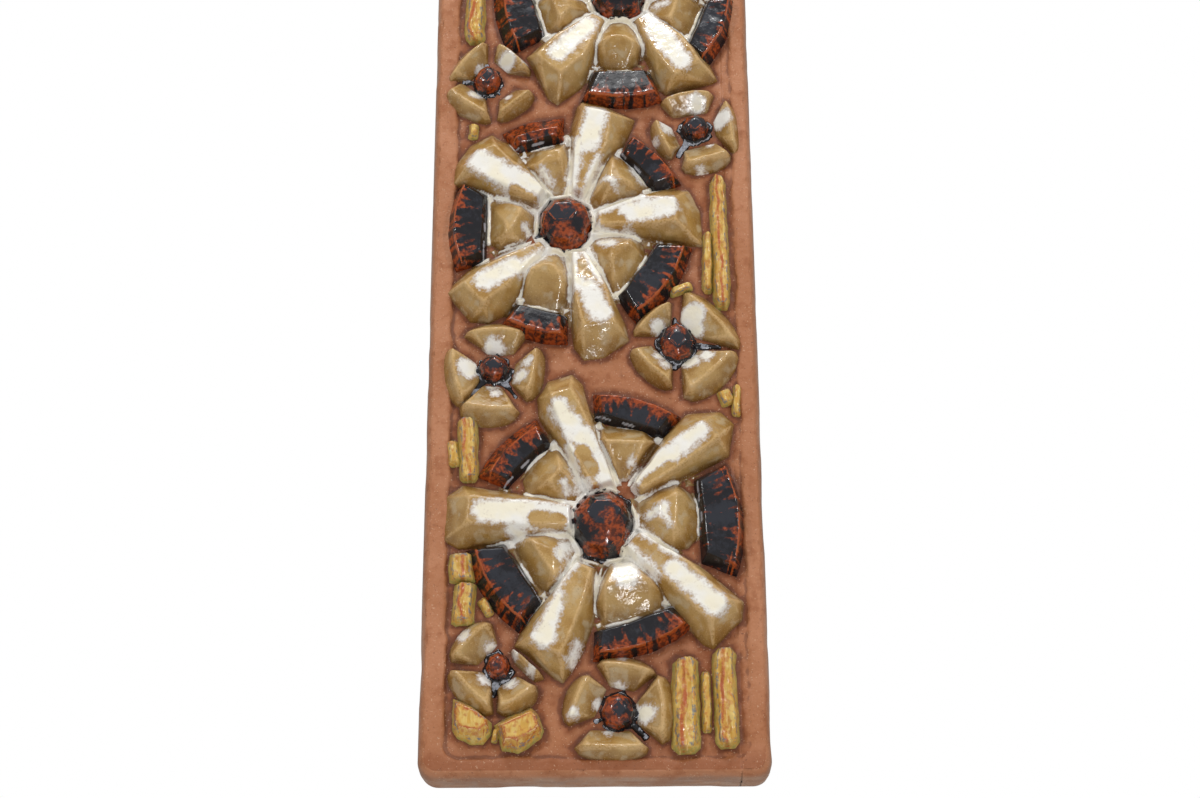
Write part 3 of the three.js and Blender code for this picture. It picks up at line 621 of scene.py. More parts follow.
def streak_mark(u, v, petal, centre, streak, fade):
    """1 well inside a streak of glaze, 0 well outside it and a half at its rim."""
    share, left, last_share, last_left, radius, last_radius = streak
    along, across = own_axes(plus(centre, petal.heel), petal.turn, u, v)
    start = np.array([share * petal.length, left])
    run = np.array([last_share * petal.length, last_left]) - start
    reach = max(float(run @ run), 1e-6)
    part = np.clip(((along - start[0]) * run[0] + (across - start[1]) * run[1]) / reach, 0, 1)
    gap = np.hypot(along - start[0] - part * run[0], across - start[1] - part * run[1])
    return patch_mark(gap, radius + (last_radius - radius) * part + 0.6, fade)


# ---- The pieces ----

# White glaze lies thick round a large hub, thins on its way out along the gaps between the petals,
# and gathers again in the pockets where three forms meet.
POOL = {
    "depth": 2.6, "thin": 0.085, "side": 1.3, "cling": 0.9, "cling_thin": 0.05, "pocket": 1.5,
    "pocket_side": 0.75, "pocket_start": 27, "pocket_end": 50, "rim": 13, "absent": GROUND - 3,
}


def near_first(forms, u, v):
    """Distances out from the outlines of some forms, the nearest first."""
    return np.sort([-form.inside(u, v) for form in forms], axis=0)


def pool_level(forms, out, carved, u, v, cells):
    """Level of the white glaze between a large flower's forms; out is the distance from its centre."""
    near = near_first(forms, u, v)
    depth = POOL["depth"] - POOL["thin"] * np.maximum(out - POOL["rim"], 0)
    gaps = depth - POOL["side"] * np.maximum(near[1], 0)
    cling = blurred(np.maximum(carved, GROUND), 1.6 * cells) - POOL["cling"]
    cling = cling - POOL["cling_thin"] * np.maximum(out - POOL["rim"] - 1, 0)
    cling = np.where(near[0] < 0.5, cling, POOL["absent"])
    pocket = POOL["pocket"] - POOL["pocket_side"] * np.maximum(near[2], 0)
    pocket = pocket - 4 * ease(out, POOL["pocket_end"], POOL["pocket_end"] + 4)
    pocket = np.where(out > POOL["pocket_start"], pocket, POOL["absent"])
    ragged = 0.5 * rough(u, v, 4, 31)
    return soft_most([gaps, cling, pocket], 0.3) + ragged


def patch_mark(gap, radius, fade):
    """1 well inside a patch of glaze, 0 well outside it and a half at its rim."""
    return np.clip(0.5 + (radius - gap) / fade, 0, 1)


def chosen(values, levels):
    """At each place, the value that belongs to the highest of several levels."""
    highest = np.argmax(levels, axis=0)[None]
    return np.take_along_axis(np.stack(values), highest, 0)[0]


def crease(form, u, v, step, width):
    """1 on the sharp edges between a form's upper facets, fading over a width."""
    seam = form.seam(u, v)
    slope = np.hypot(*np.gradient(seam)) / step
    return bell(seam / np.maximum(slope, 0.05), width) * ease(slope, 0.15, 0.5)


def ridge_mark(forms, levels, u, v, step):
    """1 on the edges between the facets of whichever form stands highest."""
    creases = chosen([crease(form, u, v, step, 0.4) for form in forms], levels)
    return creases * ease(np.max(levels, axis=0), 2, 4)


def tan_piece(name, grids, forms, levels, level, white, ash, settings):
    """Petals with tan and white glaze, sooty by a hub."""
    u, v, warped = grids
    marks = {
        "white": white,
        "edge": edge_mark(level, 1.2 * MM / settings.petal_step),
        # The ridge mark is where tan_glaze paints a glint along the edges between facets.
        "ridge": ridge_mark(forms, levels, *warped, settings.petal_step / MM),
        "ash": ash,
    }
    relief_piece(name, u, v, level, marks, tan_glaze)


def large_petals(flower, settings):
    centre = flower.centre
    spots = [spot for petal in flower.petals for spot in outline_places(petal, centre)]
    u, v, warped = grid(spots, 3, settings.petal_step, settings.waver)
    cells = MM / settings.petal_step
    forms = [station_form(petal, centre) for petal in flower.petals]
    hub = large_hub(flower)
    levels = [form.level(*warped, 0.3) for form in forms]
    carved = soft_most(levels, 0.25)
    carved = carved + (0.22 * rough(u, v, 10, 21) + 0.07 * rough(u, v, 2.4, 25)) * ease(carved, 1, 5)
    out = np.hypot(u - centre[0], v - centre[1])
    moons = [moon_form(centre, moon) for moon in flower.moons]
    pool = pool_level([*forms, *moons, hub], out, carved, *warped, cells)
    level = soft_most([carved, pool], 0.3)
    white = np.clip(0.5 + (pool - carved + 0.35) / 1.1, 0, 1) * ease(level, GROUND, GROUND + 0.7)
    for petal in flower.petals:
        for streak in petal.white:
            white = np.maximum(white, streak_mark(u, v, petal, centre, streak, 5))
        for streak in petal.tan:
            white = np.minimum(white, 1 - streak_mark(u, v, petal, centre, streak, 2.4))
    ash = np.exp(-np.maximum(-hub.inside(*warped), 0) / 1.8)
    tan_piece(flower.name + "_petals", (u, v, warped), forms, levels, level, white, ash, settings)


def half_moons(flower, settings):
    centre, moons = flower.centre, flower.moons
    reach = max(moon.outer for moon in moons)
    u, v, warped = grid(around(centre, reach), 3, settings.arc_step, settings.waver)
    levels = [moon_form(centre, moon).level(*warped, 0.25) for moon in moons]
    middle, _, inner, _, ridge, _, rust = (
        chosen([np.full_like(u, size) for size in sizes], levels) for sizes in zip(*moons)
    )
    out = np.hypot(warped[0] - centre[0], warped[1] - centre[1])
    turn = np.degrees(np.arctan2(warped[1] - centre[1], warped[0] - centre[0]))
    swing = np.radians((turn - middle + 180) % 360 - 180)
    rim, along = out - ridge, swing * ridge
    inward = out * np.cos(swing) - inner
    streak = noise(along + 900, rim / 5, 1.3, 45) + 0.5 * noise(along, rim / 3, 0.8, 46)
    level = np.max(levels, axis=0)
    standing = ease(level, 1.5, 4)
    lip = bell(rim, 0.7) * ease(rough(along, rim, 7, 47), -0.7, 0.2)
    level = level + (0.1 * rough(u, v, 7, 41) + 0.35 * lip + 0.12 * streak * ease(rim, -4, 1)) * standing
    first_line = bell(rim, 0.5) * ease(rough(along + 300, rim / 2, 8, 48), -0.5, 0.1)
    second_line = 0.8 * bell(rim + 1.9, 0.35) * ease(rough(along + 500, rim, 9, 49), 0.0, 0.4)
    hairline = bell(inward - 1.3, 0.4) * ease(rough(along, inward, 6, 50), -0.2, 0.4)
    marks = {
        "crack_and_highlight": np.maximum(first_line, second_line),
        "rusting": 1.3 * rust * ease(rim, -7, -0.5) + 0.7 * streak,
        # Where the painted sheen lies: the flat top between the rim and the inner edge.
        "painted_sheen": ease(rim, 0.2, -2.5) * ease(inward, 0.8, 2.5) * (0.6 + 0.5 * rough(u, v, 9, 43)),
        "fringe": hairline * ease(rim, 0, -4),
        "edge": edge_mark(level, 1.2 * MM / settings.arc_step),
    }
    relief_piece(flower.name + "_half_moons", u, v, level, marks, dark_glaze)


def hub_piece(name, form, spot, reach, top, runs, settings):
    """A hub with the dark glaze that ran off it into the gaps between petals."""
    reach = max([reach, *[run_reach for _, run_reach in runs]]) + 1
    u, v, warped = grid(around(spot, reach), 2, settings.hub_step, 1.4 * settings.waver)
    carved = form.level(*warped, 0.3) - 0.15
    ragged = rough(u, v, 3, 55)
    pool = 0.6 - 0.8 * np.maximum(-form.inside(*warped), 0) + 0.8 * ragged
    for turn, run_reach in runs:
        along, left = own_axes(spot, turn, *warped)
        width = 1.5 - 1.1 * along / run_reach + 0.5 * ragged
        run = 0.4 - 1.3 * np.maximum(np.abs(left) - width, 0) - 2 * np.maximum(along - run_reach, 0)
        pool = np.where(along > 0, np.maximum(pool, run), pool)
    level = soft_most([carved, GROUND + pool], 0.3)
    level = level + 0.15 * rough(u, v, 4, 51) * ease(level, 1, 4)
    crack_and_highlight = crease(form, *warped, settings.hub_step / MM, 0.6) * ease(rough(u, v, 6, 56), -0.6, 0.2)
    standing = ease(carved, GROUND, GROUND + 1.5)
    marks = {
        "crack_and_highlight": crack_and_highlight * ease(carved, 2, 4),
        "rusting": (0.6 + 0.6 * rough(u, v, 7, 57) - 0.6 * ease(level, top - 1, top - 0.2)) * standing,
        # Where the painted sheen lies: mostly the hub's top, with a few patches elsewhere.
        "painted_sheen": ease(level, top - 1, top - 0.2) + 0.3 * ease(rough(u, v, 7, 58), 0, 0.6),
        "fringe": bell(pool - 0.25, 0.22) * (1 - standing) * ease(ragged, -0.4, 0.2),
        "edge": edge_mark(level, MM / settings.hub_step),
    }
    relief_piece(name, u, v, level, marks, dark_glaze)


def small_petals(name, flower, settings):
    centre = flower.centre
    reach = max(max(far, left, right) for _, _, far, left, right, *_ in flower.petals) + 4
    u, v, warped = grid(around(centre, reach), 2, settings.petal_step, settings.waver)
    forms = [petal_form(centre, *petal[:7]) for petal in flower.petals]
    levels = [form.level(*warped, 0.45) for form in forms]
    level = np.max(levels, axis=0) + 0.1
    level = level + (0.25 * rough(u, v, 9, 61) + 0.07 * rough(u, v, 2.4, 65)) * ease(level, 0.5, 4)
    white = np.zeros_like(level)
    for turn, *_, patches in flower.petals:
        along, left = own_axes(centre, turn, *warped)
        for place, side, radius in patches:
            white = np.maximum(white, patch_mark(np.hypot(along - place, left - side), radius + 0.3, 4.2))
    ash = np.exp(-np.maximum(-small_hub(flower).inside(*warped) - 0.6, 0) / 0.9)
    tan_piece(name, (u, v, warped), forms, levels, level, white, ash, settings)


def ribbed_piece(name, bar, settings):
    """A bar with a band of rust between two grooves that run along it."""
    across, up, half_width, half_length, turn, _ = bar
    heel, form = (across, up), bar_form(*bar)
    reach = math.hypot(half_width, half_length)
    u, v, warped = grid(around(heel, reach), 2, settings.bar_step, 1.8 * settings.waver)
    along, left = own_axes(heel, turn, *warped)
    seed = 71 + 3 * round(abs(across))
    drift = 0.3 * rough(along, np.full_like(along, up), 14, seed)
    off = np.abs(left / half_width - drift - 0.08)
    level = form.level(*warped, 0.4)
    standing = ease(level, 0, 2.5)
    grooves = bell(off - 0.38, 0.09) * ease(half_width, 1.8, 3.5)
    ripple = 0.7 * rough(left, along / 5, 2, seed + 1) + 0.3 * rough(u, v, 2.4, 81)
    level = level + (ripple - 0.75 * grooves) * standing
    marks = {
        "across": np.clip(1 - form.inside(*warped) / half_width, 0, 1),
        "core": bell(off, 0.24) * ease(half_width, 2.6, 3.6),
        # Where yellow_glaze paints a highlight line, beside the rust band.
        "crack_and_highlight": bell(off - 0.27, 0.05) * ease(rough(left, along / 3, 3, 83), -0.3, 0.2),
        "edge": edge_mark(level, 0.9 * MM / settings.bar_step),
    }
    relief_piece(name, u, v, level, marks, yellow_glaze)


def block_piece(name, block, settings):
    """A squat block with rust along the edges between its facets, and a painted highlight line on each edge.
    """
    half = block.length / 2
    middle, form = beside(block.heel, block.turn, half, 0), block_form(block)
    u, v, warped = grid(around(middle, half), 4, settings.bar_step, 1.8 * settings.waver)
    level = form.level(*warped, 0.3)
    level = level + 0.3 * rough(u, v, 3, 85) * ease(level, 0, 2.5)
    marks = {
        "across": np.clip(1 - form.inside(*warped) / 4, 0, 1),
        "core": crease(form, *warped, settings.bar_step / MM, 1.4) * ease(level, 0, 2),
        # Where yellow_glaze paints a highlight line, on the edges between facets.
        "crack_and_highlight": crease(form, *warped, settings.bar_step / MM, 0.4) * ease(level, 1, 3),
        "edge": edge_mark(level, 0.9 * MM / settings.bar_step),
    }
    relief_piece(name, u, v, level, marks, yellow_glaze)


# ---- The slab ----

BORDER_WAVER = 0.9
BORDER_MARGIN = 10
# How deep the rings round the sides lie, and how far in from the edge the rings on the back.
SIDE_DEPTHS = [0.12, 0.35, 0.7, 1.2, *range(2, 19), 18.8, 19.4, 19.8, THICKNESS]
BACK_GAPS = (1, 3.5, 8, 15, 25, 36)
# The sides' sections with a worn arris: level against the front face, and swell beyond its edge.
SIDE_PROFILE = [
    (0, -1), (-0.3, -0.35), (-0.8, 0.1), (-1.5, 0.5), (-3, 1.2), (-6, 2), (-13, 2), (-18.5, 1.5),
    (-THICKNESS, 0.5),
]


def graded(first, last, margin, fine, coarse):
    """Places from first to last, finely spaced inside both margins and more coarsely between them."""
    edge = np.linspace(0, margin, int(round(margin / fine)) + 1)
    count = int(round((last - first - 2 * margin) / coarse)) + 1
    middle = np.linspace(first + margin, last - margin, count)
    return np.concatenate([first + edge[:-1], middle, last - edge[::-1][:-1]])


def rounded_corners(u, v, half, bottom, top, radius):
    """Moves the places in the four corner squares of a grid onto quarter discs."""
    middle = (bottom + top) / 2
    tall = (top - bottom) / 2
    a = np.clip((np.abs(u) - (half - radius)) / radius, 0, 1)
    b = np.clip((np.abs(v - middle) - (tall - radius)) / radius, 0, 1)
    both = (a > 0) & (b > 0)
    du = np.sign(u) * (half - radius + radius * a * np.sqrt(1 - b * b / 2))
    dv = middle + np.sign(v - middle) * (tall - radius + radius * b * np.sqrt(1 - a * a / 2))
    return np.where(both, du, u), np.where(both, dv, v)


def field_depth(u, v):
    """Distance into the sunk field from its rounded edge, negative on the border."""
    centre_u = (FIELD["right"] - FIELD["left"]) / 2
    centre_v = (FIELD["top"] + FIELD["bottom"]) / 2
    corner = FIELD["corner"]
    a = np.abs(u - centre_u) - (FIELD["right"] + FIELD["left"]) / 2 + corner
    b = np.abs(v - centre_v) - (FIELD["top"] - FIELD["bottom"]) / 2 + corner
    outside = np.hypot(np.maximum(a, 0), np.maximum(b, 0)) + np.minimum(np.maximum(a, b), 0)
    return corner - outside


def face_level(u, v, inward, relief):
    """Level of the slab's face: the flat border, the sunk ground and the knife cut round each form."""
    field = ease(inward, -1.4, 0.5)
    ground = GROUND + 0.3 * rough(u, v, 16, 91) + 0.16 * rough(u, v, 3, 95)
    ground = ground - 0.55 * bell(np.maximum(-relief, 0) - 0.8, 1.6)
    border = 0.22 * np.minimum(rough(u, v, 22, 101), 0) + 0.1 * np.minimum(rough(u, v, 2.6, 105), 0)
    groove = 0.25 * bell(inward - 0.9, 0.8) * ease(u, 20, -50)
    return border * (1 - field) + (ground - groove) * field


def side_rings(rim_u, rim_v, rim_level):
    """Rings of places round the slab, from just below the face's edge down its sides to the back."""
    across, up = (np.roll(line, -1) - np.roll(line, 1) for line in (rim_u, rim_v))
    length = np.hypot(across, up)
    out_u, out_v = up / length, -across / length
    round_it = np.cumsum(np.hypot(rim_u - np.roll(rim_u, 1), rim_v - np.roll(rim_v, 1)))
    levels, swells = zip(*SIDE_PROFILE)
    rings = []
    for depth in SIDE_DEPTHS:
        at_depth = np.full_like(round_it, float(depth))
        free = ease(depth, 0.2, 2) * ease(depth, THICKNESS, THICKNESS - 2)
        swell = np.interp(depth, [-level for level in levels], swells) - swells[0]
        tooled = 0.2 * noise(round_it / 30, at_depth, 1.1, 111)
        wave = 0.5 * rough(round_it, at_depth, 19, 115)
        near_face = ease(depth, 2.5, 0.3)
        worn = 0.55 * ease(rough(round_it, at_depth, 3, 121), 0.35, 1.2) * near_face
        out = swell + np.minimum(wave + tooled, 0) * free - worn
        level = -at_depth + (np.minimum(rim_level, 0) - 0.6 * worn) * near_face
        rings.append((rim_u + out_u * out, rim_v + out_v * out, level))
    return rings


def back_rings(edge_u, edge_v):
    """Rings of places on the flat back, each further in from its edge."""
    rest = edge_v - LENGTH / 2
    rings = []
    for gap in BACK_GAPS:
        u = edge_u - np.sign(edge_u) * np.minimum(np.abs(edge_u), gap)
        v = edge_v - np.sign(rest) * np.minimum(np.abs(rest), gap)
        rings.append((u, v, np.full_like(edge_u, -float(THICKNESS))))
    return rings


def slab_piece(settings):
    """The slab as one closed mesh: its face on a grid, then rings down the sides and over the back."""
    inset = -SIDE_PROFILE[0][1]
    half = WIDTH / 2 - inset
    steps = (BORDER_MARGIN, settings.border_step / MM, settings.ground_step / MM)
    u, v = np.meshgrid(graded(-half, half, *steps), graded(inset, LENGTH - inset, *steps), indexing="ij")
    u, v = rounded_corners(u, v, half, inset, LENGTH - inset, CORNER - inset)
    relief = np.max([form.inside(u, v) for form in all_forms()], axis=0)
    inward = field_depth(*hand_made(u, v, BORDER_WAVER))
    level = face_level(u, v, inward, relief)

    number = np.arange(u.size).reshape(u.shape)
    rim = np.concatenate([number[:, 0], number[-1, 1:], number[-2::-1, -1], number[0, -2:0:-1]])
    rings = side_rings(u.ravel()[rim], v.ravel()[rim], level.ravel()[rim])
    rings += back_rings(*rings[-1][:2])
    points = np.concatenate([in_frame(*places).reshape(-1, 3) for places in [(u, v, level), *rings]])
    faces = quads(*u.shape).tolist()
    above = rim
    for place in range(len(rings)):
        below = u.size + place * len(rim) + np.arange(len(rim))
        ring_faces = np.stack([above, below, np.roll(below, -1), np.roll(above, -1)], -1)
        faces += ring_faces.tolist()
        above = below
    faces.append(above[::-1].tolist())

    def on_face(values):
        return np.concatenate([values.ravel(), np.zeros(len(rings) * len(rim))])

    marks = {
        "near": on_face(np.exp(-np.maximum(-relief, 0) / 3.5)),
        "field": on_face(ease(inward, -1, 0.6)),
        # Where the clay paints shade in the groove round the sunk field, strongest on the left.
        "groove": on_face(bell(inward - 0.7, 0.8) * ease(u, 30, -55)),
        "low": on_face(ease(v, 14, 2)),
        "edge": on_face(level - blurred(level, 2)),
        "depth": np.concatenate([np.zeros(u.size), *[-level for _, _, level in rings]]),
    }
    mesh_piece("clay_slab", points, faces, marks, bare_clay)


# ---- Materials ----


def tone(code):
    """A colour written as six hex digits, as the linear values that nodes use."""
    values = [int(code[i : i + 2], 16) / 255 for i in (0, 2, 4)]
    return tuple(c / 12.92 if c <= 0.04045 else ((c + 0.055) / 1.055) ** 2.4 for c in values)


class Value:
    """A node's output, which can be added to, multiplied and eased."""

    def __init__(self, look, socket):
        self.look = look
        self.socket = socket

    def __add__(self, other):
        return self.look.maths("ADD", self, other)

    def __sub__(self, other):
        return self.look.maths("ADD", self, -other)

    def __mul__(self, other):
        return self.look.maths("MULTIPLY", self, other)

    def ease(self, low, high, first=0.0, last=1.0):
        """First below low and last above high, with a smooth change between them."""
        limits = {"From Min": low, "From Max": high, "To Min": first, "To Max": last}
        inputs = {"Value": self, **limits}
        return self.look.add("ShaderNodeMapRange", "Result", inputs, interpolation_type="SMOOTHSTEP")


class Look:
    """A material laid on coat by coat. Lengths in its patterns are millimetres."""

    def __init__(self, name):
        self.material = bpy.data.materials.new(name)
        self.material.use_nodes = True
        self.nodes = self.material.node_tree.nodes
        self.nodes.clear()
        shader = self.node("ShaderNodeBsdfPrincipled")
        self.surface = shader.inputs
        self.node("ShaderNodeOutputMaterial", {"Surface": Value(self, shader.outputs["BSDF"])})
        spot = self.add("ShaderNodeTexCoord", "Object")
        self.place = self.add("ShaderNodeVectorMath", 0, {0: spot, "Scale": 1 / MM}, operation="SCALE")

    def join(self, value, socket):
        """Gives a socket a node's output, a colour or a plain number."""
        if isinstance(value, Value):
            self.material.node_tree.links.new(value.socket, socket)
        else:
            socket.default_value = (*value, 1.0) if socket.type == "RGBA" else value

    def node(self, kind, inputs=None, **settings):
        node = self.nodes.new(kind)
        for key, value in settings.items():
            setattr(node, key, value)
        for key, value in (inputs or {}).items():
            self.join(value, node.inputs[key])
        return node

    def add(self, kind, output, inputs=None, **settings):
        return Value(self, self.node(kind, inputs, **settings).outputs[output])

    def maths(self, operation, first, second=0.0):
        return self.add("ShaderNodeMath", 0, {0: first, 1: second}, operation=operation)

    def mark(self, name):
        return self.add("ShaderNodeAttribute", "Fac", attribute_name=name)

    def noise(self, size, seed, detail=2.0, stretch=(1, 1, 1)):
        """Cloudy values, mostly between 0.3 and 0.7, whose lumps are about as wide as size."""
        place = self.add("ShaderNodeVectorMath", 0, {0: self.place, 1: stretch}, operation="MULTIPLY")
        inputs = {"Vector": place, "W": seed, "Scale": 1 / size, "Detail": detail}
        return self.add("ShaderNodeTexNoise", "Fac", inputs, noise_dimensions="4D")

    def blend(self, share, first, second):
        """The first colour where the share is 0 and the second where it is 1."""
        hues = bpy.context.scene.plaque_colours
        first, second = (getattr(hues, hue) if isinstance(hue, str) else hue for hue in (first, second))
        return self.add("ShaderNodeMix", 2, {0: share, 6: first, 7: second}, data_type="RGBA")

    def coat(self, hue, share):
        """Lays a colour over the ones before it, as thickly as the share says at each place."""
        self.colour = self.blend(share, self.colour, hue)

    def finish(self, roughness, *bumps):
        """Joins the coats, a roughness and bumps of a height and a depth, finest first."""
        normal = {}
        for height, depth in bumps:
            inputs = {"Height": height, "Distance": depth * MM, "Strength": 1.0, **normal}
            normal = {"Normal": self.add("ShaderNodeBump", "Normal", inputs)}
        for key, value in {"Base Color": self.colour, "Roughness": roughness, **normal}.items():
            self.join(value, self.surface[key])
        return self.material


def tan_glaze(look):
    """Glossy tan glaze with pours of white, breaking pale on the ridges with a painted glint along them, and
    pooling brown low down and in hollows, where it also paints shade.
    """
    broad, medium, fine = look.noise(11, 1), look.noise(3.2, 2, 3.0), look.noise(0.9, 3, 3.0)
    speck = look.noise(0.42, 4, 1.0)
    lift, edge, ridge, ash = (look.mark(name) for name in ("lift", "edge", "ridge", "ash"))
    look.colour = "tan"
    look.coat("amber", broad.ease(0.42, 0.62))
    # Darker brown low on the forms, near the clay: glaze pooled there, and painted shade as well.
    look.coat("umber", lift.ease(5, 0.2) * medium.ease(0.3, 0.6, 0.55, 1.0) * 0.6)
    look.coat("haze", look.noise(6, 5, 3.0).ease(0.5, 0.66) * edge.ease(0.3, 0, 0.15, 0.8) * 0.75)
    # Darker brown in the hollows: pooled glaze, and painted shade as well.
    look.coat("umber", edge.ease(-0.12, -0.6) * 0.6)
    look.coat("umber", speck.ease(0.62, 0.72) * 0.5)
    look.coat("break_tan", look.noise(0.5, 10, 1.0).ease(0.6, 0.7) * 0.4)
    # Painted glints: a pale line along the ridges and edges, partly glaze thinning there and partly a painted
    # highlight.
    look.coat("break_tan", look.maths("MAXIMUM", ridge, edge.ease(0.16, 0.42)) * fine.ease(0.3, 0.55) * 0.5)
    thick = look.mark("white")
    white = thick + ((medium - 0.5) * 1.1 + (fine - 0.5) * 0.9)
    look.coat("lavender", white.ease(0.22, 0.6) * look.noise(2.2, 7).ease(0.3, 0.6, 0.5, 0.95))
    cream = look.blend(broad.ease(0.4, 0.6), "cream", "milk")
    look.coat(look.blend(thick.ease(1.0, 0.62), cream, "milk"), white.ease(0.38, 0.92))
    soot = ash + (look.noise(2.6, 18, 3.0) - 0.5) * 1.8
    look.coat("ember", soot.ease(0.55, 0.95) * white.ease(0.6, 0.2) * 0.7)
    look.coat("black", soot.ease(0.95, 1.15))
    roughness = medium.ease(0.3, 0.7, 0.06, 0.2)
    return look.finish(roughness, (look.noise(1.1, 8, 3.0), 0.1), (look.noise(4.5, 9, 2.0), 0.3))


def dark_glaze(look):
    """Near-black glaze with a painted sheen of slate on the flats, standing for their reflection, breaking
    rust along rims and edges.
    """
    medium, fine = look.noise(2.4, 12, 3.0), look.noise(0.8, 13, 2.0)
    loose = (medium - 0.5) * 1.2 + (fine - 0.5) * 0.7
    look.colour = "black"
    # Painted sheen: lighter slate on the flat tops, standing for the reflection there.
    look.coat("sheen_slate", (look.mark("painted_sheen") + loose).ease(0.35, 0.95))
    scorched = look.blend(look.noise(1.6, 19, 3.0).ease(0.4, 0.6), "scorch", "rust")
    look.coat(scorched, (look.mark("rusting") + loose).ease(0.3, 0.85) * 0.9)
    rusty = look.blend(look.noise(1.1, 14, 3.0).ease(0.4, 0.62), "rust", "ember")
    # Rust where the dark glaze breaks along rims and cracks.
    look.coat(rusty, (look.mark("crack_and_highlight") + (fine - 0.5) * 0.9).ease(0.3, 0.75) * 0.95)
    look.coat("frost", (look.mark("fringe") + (fine - 0.5) * 0.6).ease(0.3, 0.8) * 0.8)
    roughness = medium.ease(0.3, 0.7, 0.08, 0.22)
    return look.finish(roughness, (look.noise(1.1, 16, 3.0), 0.05), (look.noise(4.5, 17, 2.0), 0.18))


def yellow_glaze(look):
    """Runny golden glaze with a rust band, green rims and thin blue lines beside them, and painted highlight
    lines.
    """
    medium, fine = look.noise(2.2, 22, 3.0), look.noise(0.7, 23, 2.0)
    streaks = look.noise(1.3, 24, 2.0, (1, 1, 0.2))
    loose = (streaks - 0.5) + (fine - 0.5) * 0.5
    across = look.mark("across") + loose * 0.7
    look.colour = "ochre"
    look.coat("straw", streaks.ease(0.4, 0.6))
    look.coat("brick", medium.ease(0.5, 0.62) * 0.5)
    look.coat("brick", (look.mark("core") + loose * 1.9).ease(0.3, 1.1) * 0.95)
    look.coat("moss", across.ease(0.66, 0.95) * medium.ease(0.36, 0.56, 0.2, 1.0) * 0.85)
    line = look.maths("ABSOLUTE", across - 0.62).ease(0.11, 0.03)
    look.coat("teal", line * medium.ease(0.44, 0.56) * 0.8)
    # Painted highlight: thin peach lines beside the rust band and on the blocks' edges.
    look.coat("highlight_peach", (look.mark("crack_and_highlight") + loose).ease(0.45, 0.8) * 0.85)
    return look.finish(medium.ease(0.3, 0.7, 0.05, 0.18), (look.noise(1.0, 26, 3.0), 0.12), (streaks, 0.25))


def bare_clay(look):
    """Unglazed red-brown stoneware: tool marks, grog, darker wash round the relief, painted shade in the
    groove round the sunk field, greyer sides.
    """
    broad, medium, fine = look.noise(26, 31, 3.0), look.noise(5, 32, 4.0), look.noise(1.1, 33, 3.0)
    near, field, groove = look.mark("near"), look.mark("field"), look.mark("groove")
    edge, depth = look.mark("edge"), look.mark("depth")
    look.colour = "clay"
    look.coat("blush", broad.ease(0.4, 0.62))
    look.coat("sienna", medium.ease(0.5, 0.68) * 0.45)
    look.coat("sienna", look.mark("low") * 0.7)
    look.coat("sienna", (near + (medium - 0.5) * 0.7).ease(0.25, 0.75) * field * 0.9)
    look.coat("sienna", field * broad.ease(0.45, 0.6) * 0.35)
    look.coat("bark", near.ease(0.68, 0.95) * field * fine.ease(0.3, 0.6, 0.6, 1.0) * 0.7)
    # Painted shade in the groove round the sunk field, strongest on the left.
    look.coat("bark", groove * look.noise(9, 34, 2.0).ease(0.36, 0.58, 0.15, 1.0) * 0.5)
    look.coat("bark", edge.ease(-0.04, -0.2) * 0.5)
    flank = look.blend(look.noise(4, 35, 3.0, (0.25, 1, 0.25)).ease(0.4, 0.6), "dusk", "dust")
    look.coat(flank, depth.ease(1.5, 5) * medium.ease(0.3, 0.7, 0.95, 0.6))
    look.coat("grog", look.noise(0.7, 36, 1.0).ease(0.66, 0.72) * 0.55)
    look.coat("bark", look.noise(0.8, 37, 1.0).ease(0.68, 0.74) * 0.6)
    brushed = look.noise(1.0, 38, 3.0, (1, 1, 0.22))
    return look.finish(medium.ease(0.3, 0.7, 0.45, 0.72), (fine, 0.22), (brushed, 0.25), (medium, 0.7))


def studio_paint(look):
    """Matte off-white, for the floor."""
    cloud = look.noise(400, 41, 2.0)
    look.colour = "paper"
    look.coat("paper_shade", cloud.ease(0.3, 0.7))
    return look.finish(cloud.ease(0.3, 0.7, 0.8, 0.9), (look.noise(30, 42, 2.0), 0.5))


# ---- Stage ----

SENSOR_WIDTH = 36
LIGHT_TARGET = (0, 0, -0.04)
KEY_PLACE = (0.1, -0.8, 1.6)
KEY_SIZE = 1.2
# Small bright lights that draw the glints along the glazed ridges.
SPARKS = {
    "left_spark": (-0.75, -0.95, 0.35), "right_spark": (0.75, -0.95, 0.3),
    "high_spark": (-0.1, -0.75, 1.1), "low_spark": (0.3, -1.0, -1.0),
}


def show(name, data):
    """An object of some data, linked to the scene."""
    thing = bpy.data.objects.new(name, data)
    bpy.context.scene.collection.objects.link(thing)
    return thing


def area_light(name, place, size, watts):
    light = bpy.data.lights.new(name, "AREA")
    light.shape = "DISK"
    light.size = size
    light.energy = watts
    lamp = show(name, light)
    lamp.location = place
    lamp.rotation_mode = "QUATERNION"
    lamp.rotation_quaternion = (Vector(LIGHT_TARGET) - Vector(place)).to_track_quat("-Z", "Y")


def camera(settings):
    lens = bpy.data.cameras.new("camera")
    lens.sensor_width = SENSOR_WIDTH
    lens.lens = settings.lens
    eye = show("camera", lens)
    ahead = Vector((0, math.cos(settings.tilt), math.sin(settings.tilt)))
    roll = Matrix.Rotation(settings.roll, 4, ahead)
    aim = ahead.to_track_quat("-Z", "Z").to_matrix().to_4x4()
    eye.matrix_world = Matrix.Translation(settings.eye) @ roll @ aim
    bpy.context.scene.camera = eye


def floor(settings):
    half, height = settings.floor_size / 2, settings.floor_height
    mesh = bpy.data.meshes.new("floor")
    corners = [(-half, -half, height), (half, -half, height), (half, half, height), (-half, half, height)]
    mesh.from_pydata(corners, [], [(0, 1, 2, 3)])
    mesh.materials.append(studio_paint(Look("studio_paint")))
    show("floor", mesh)


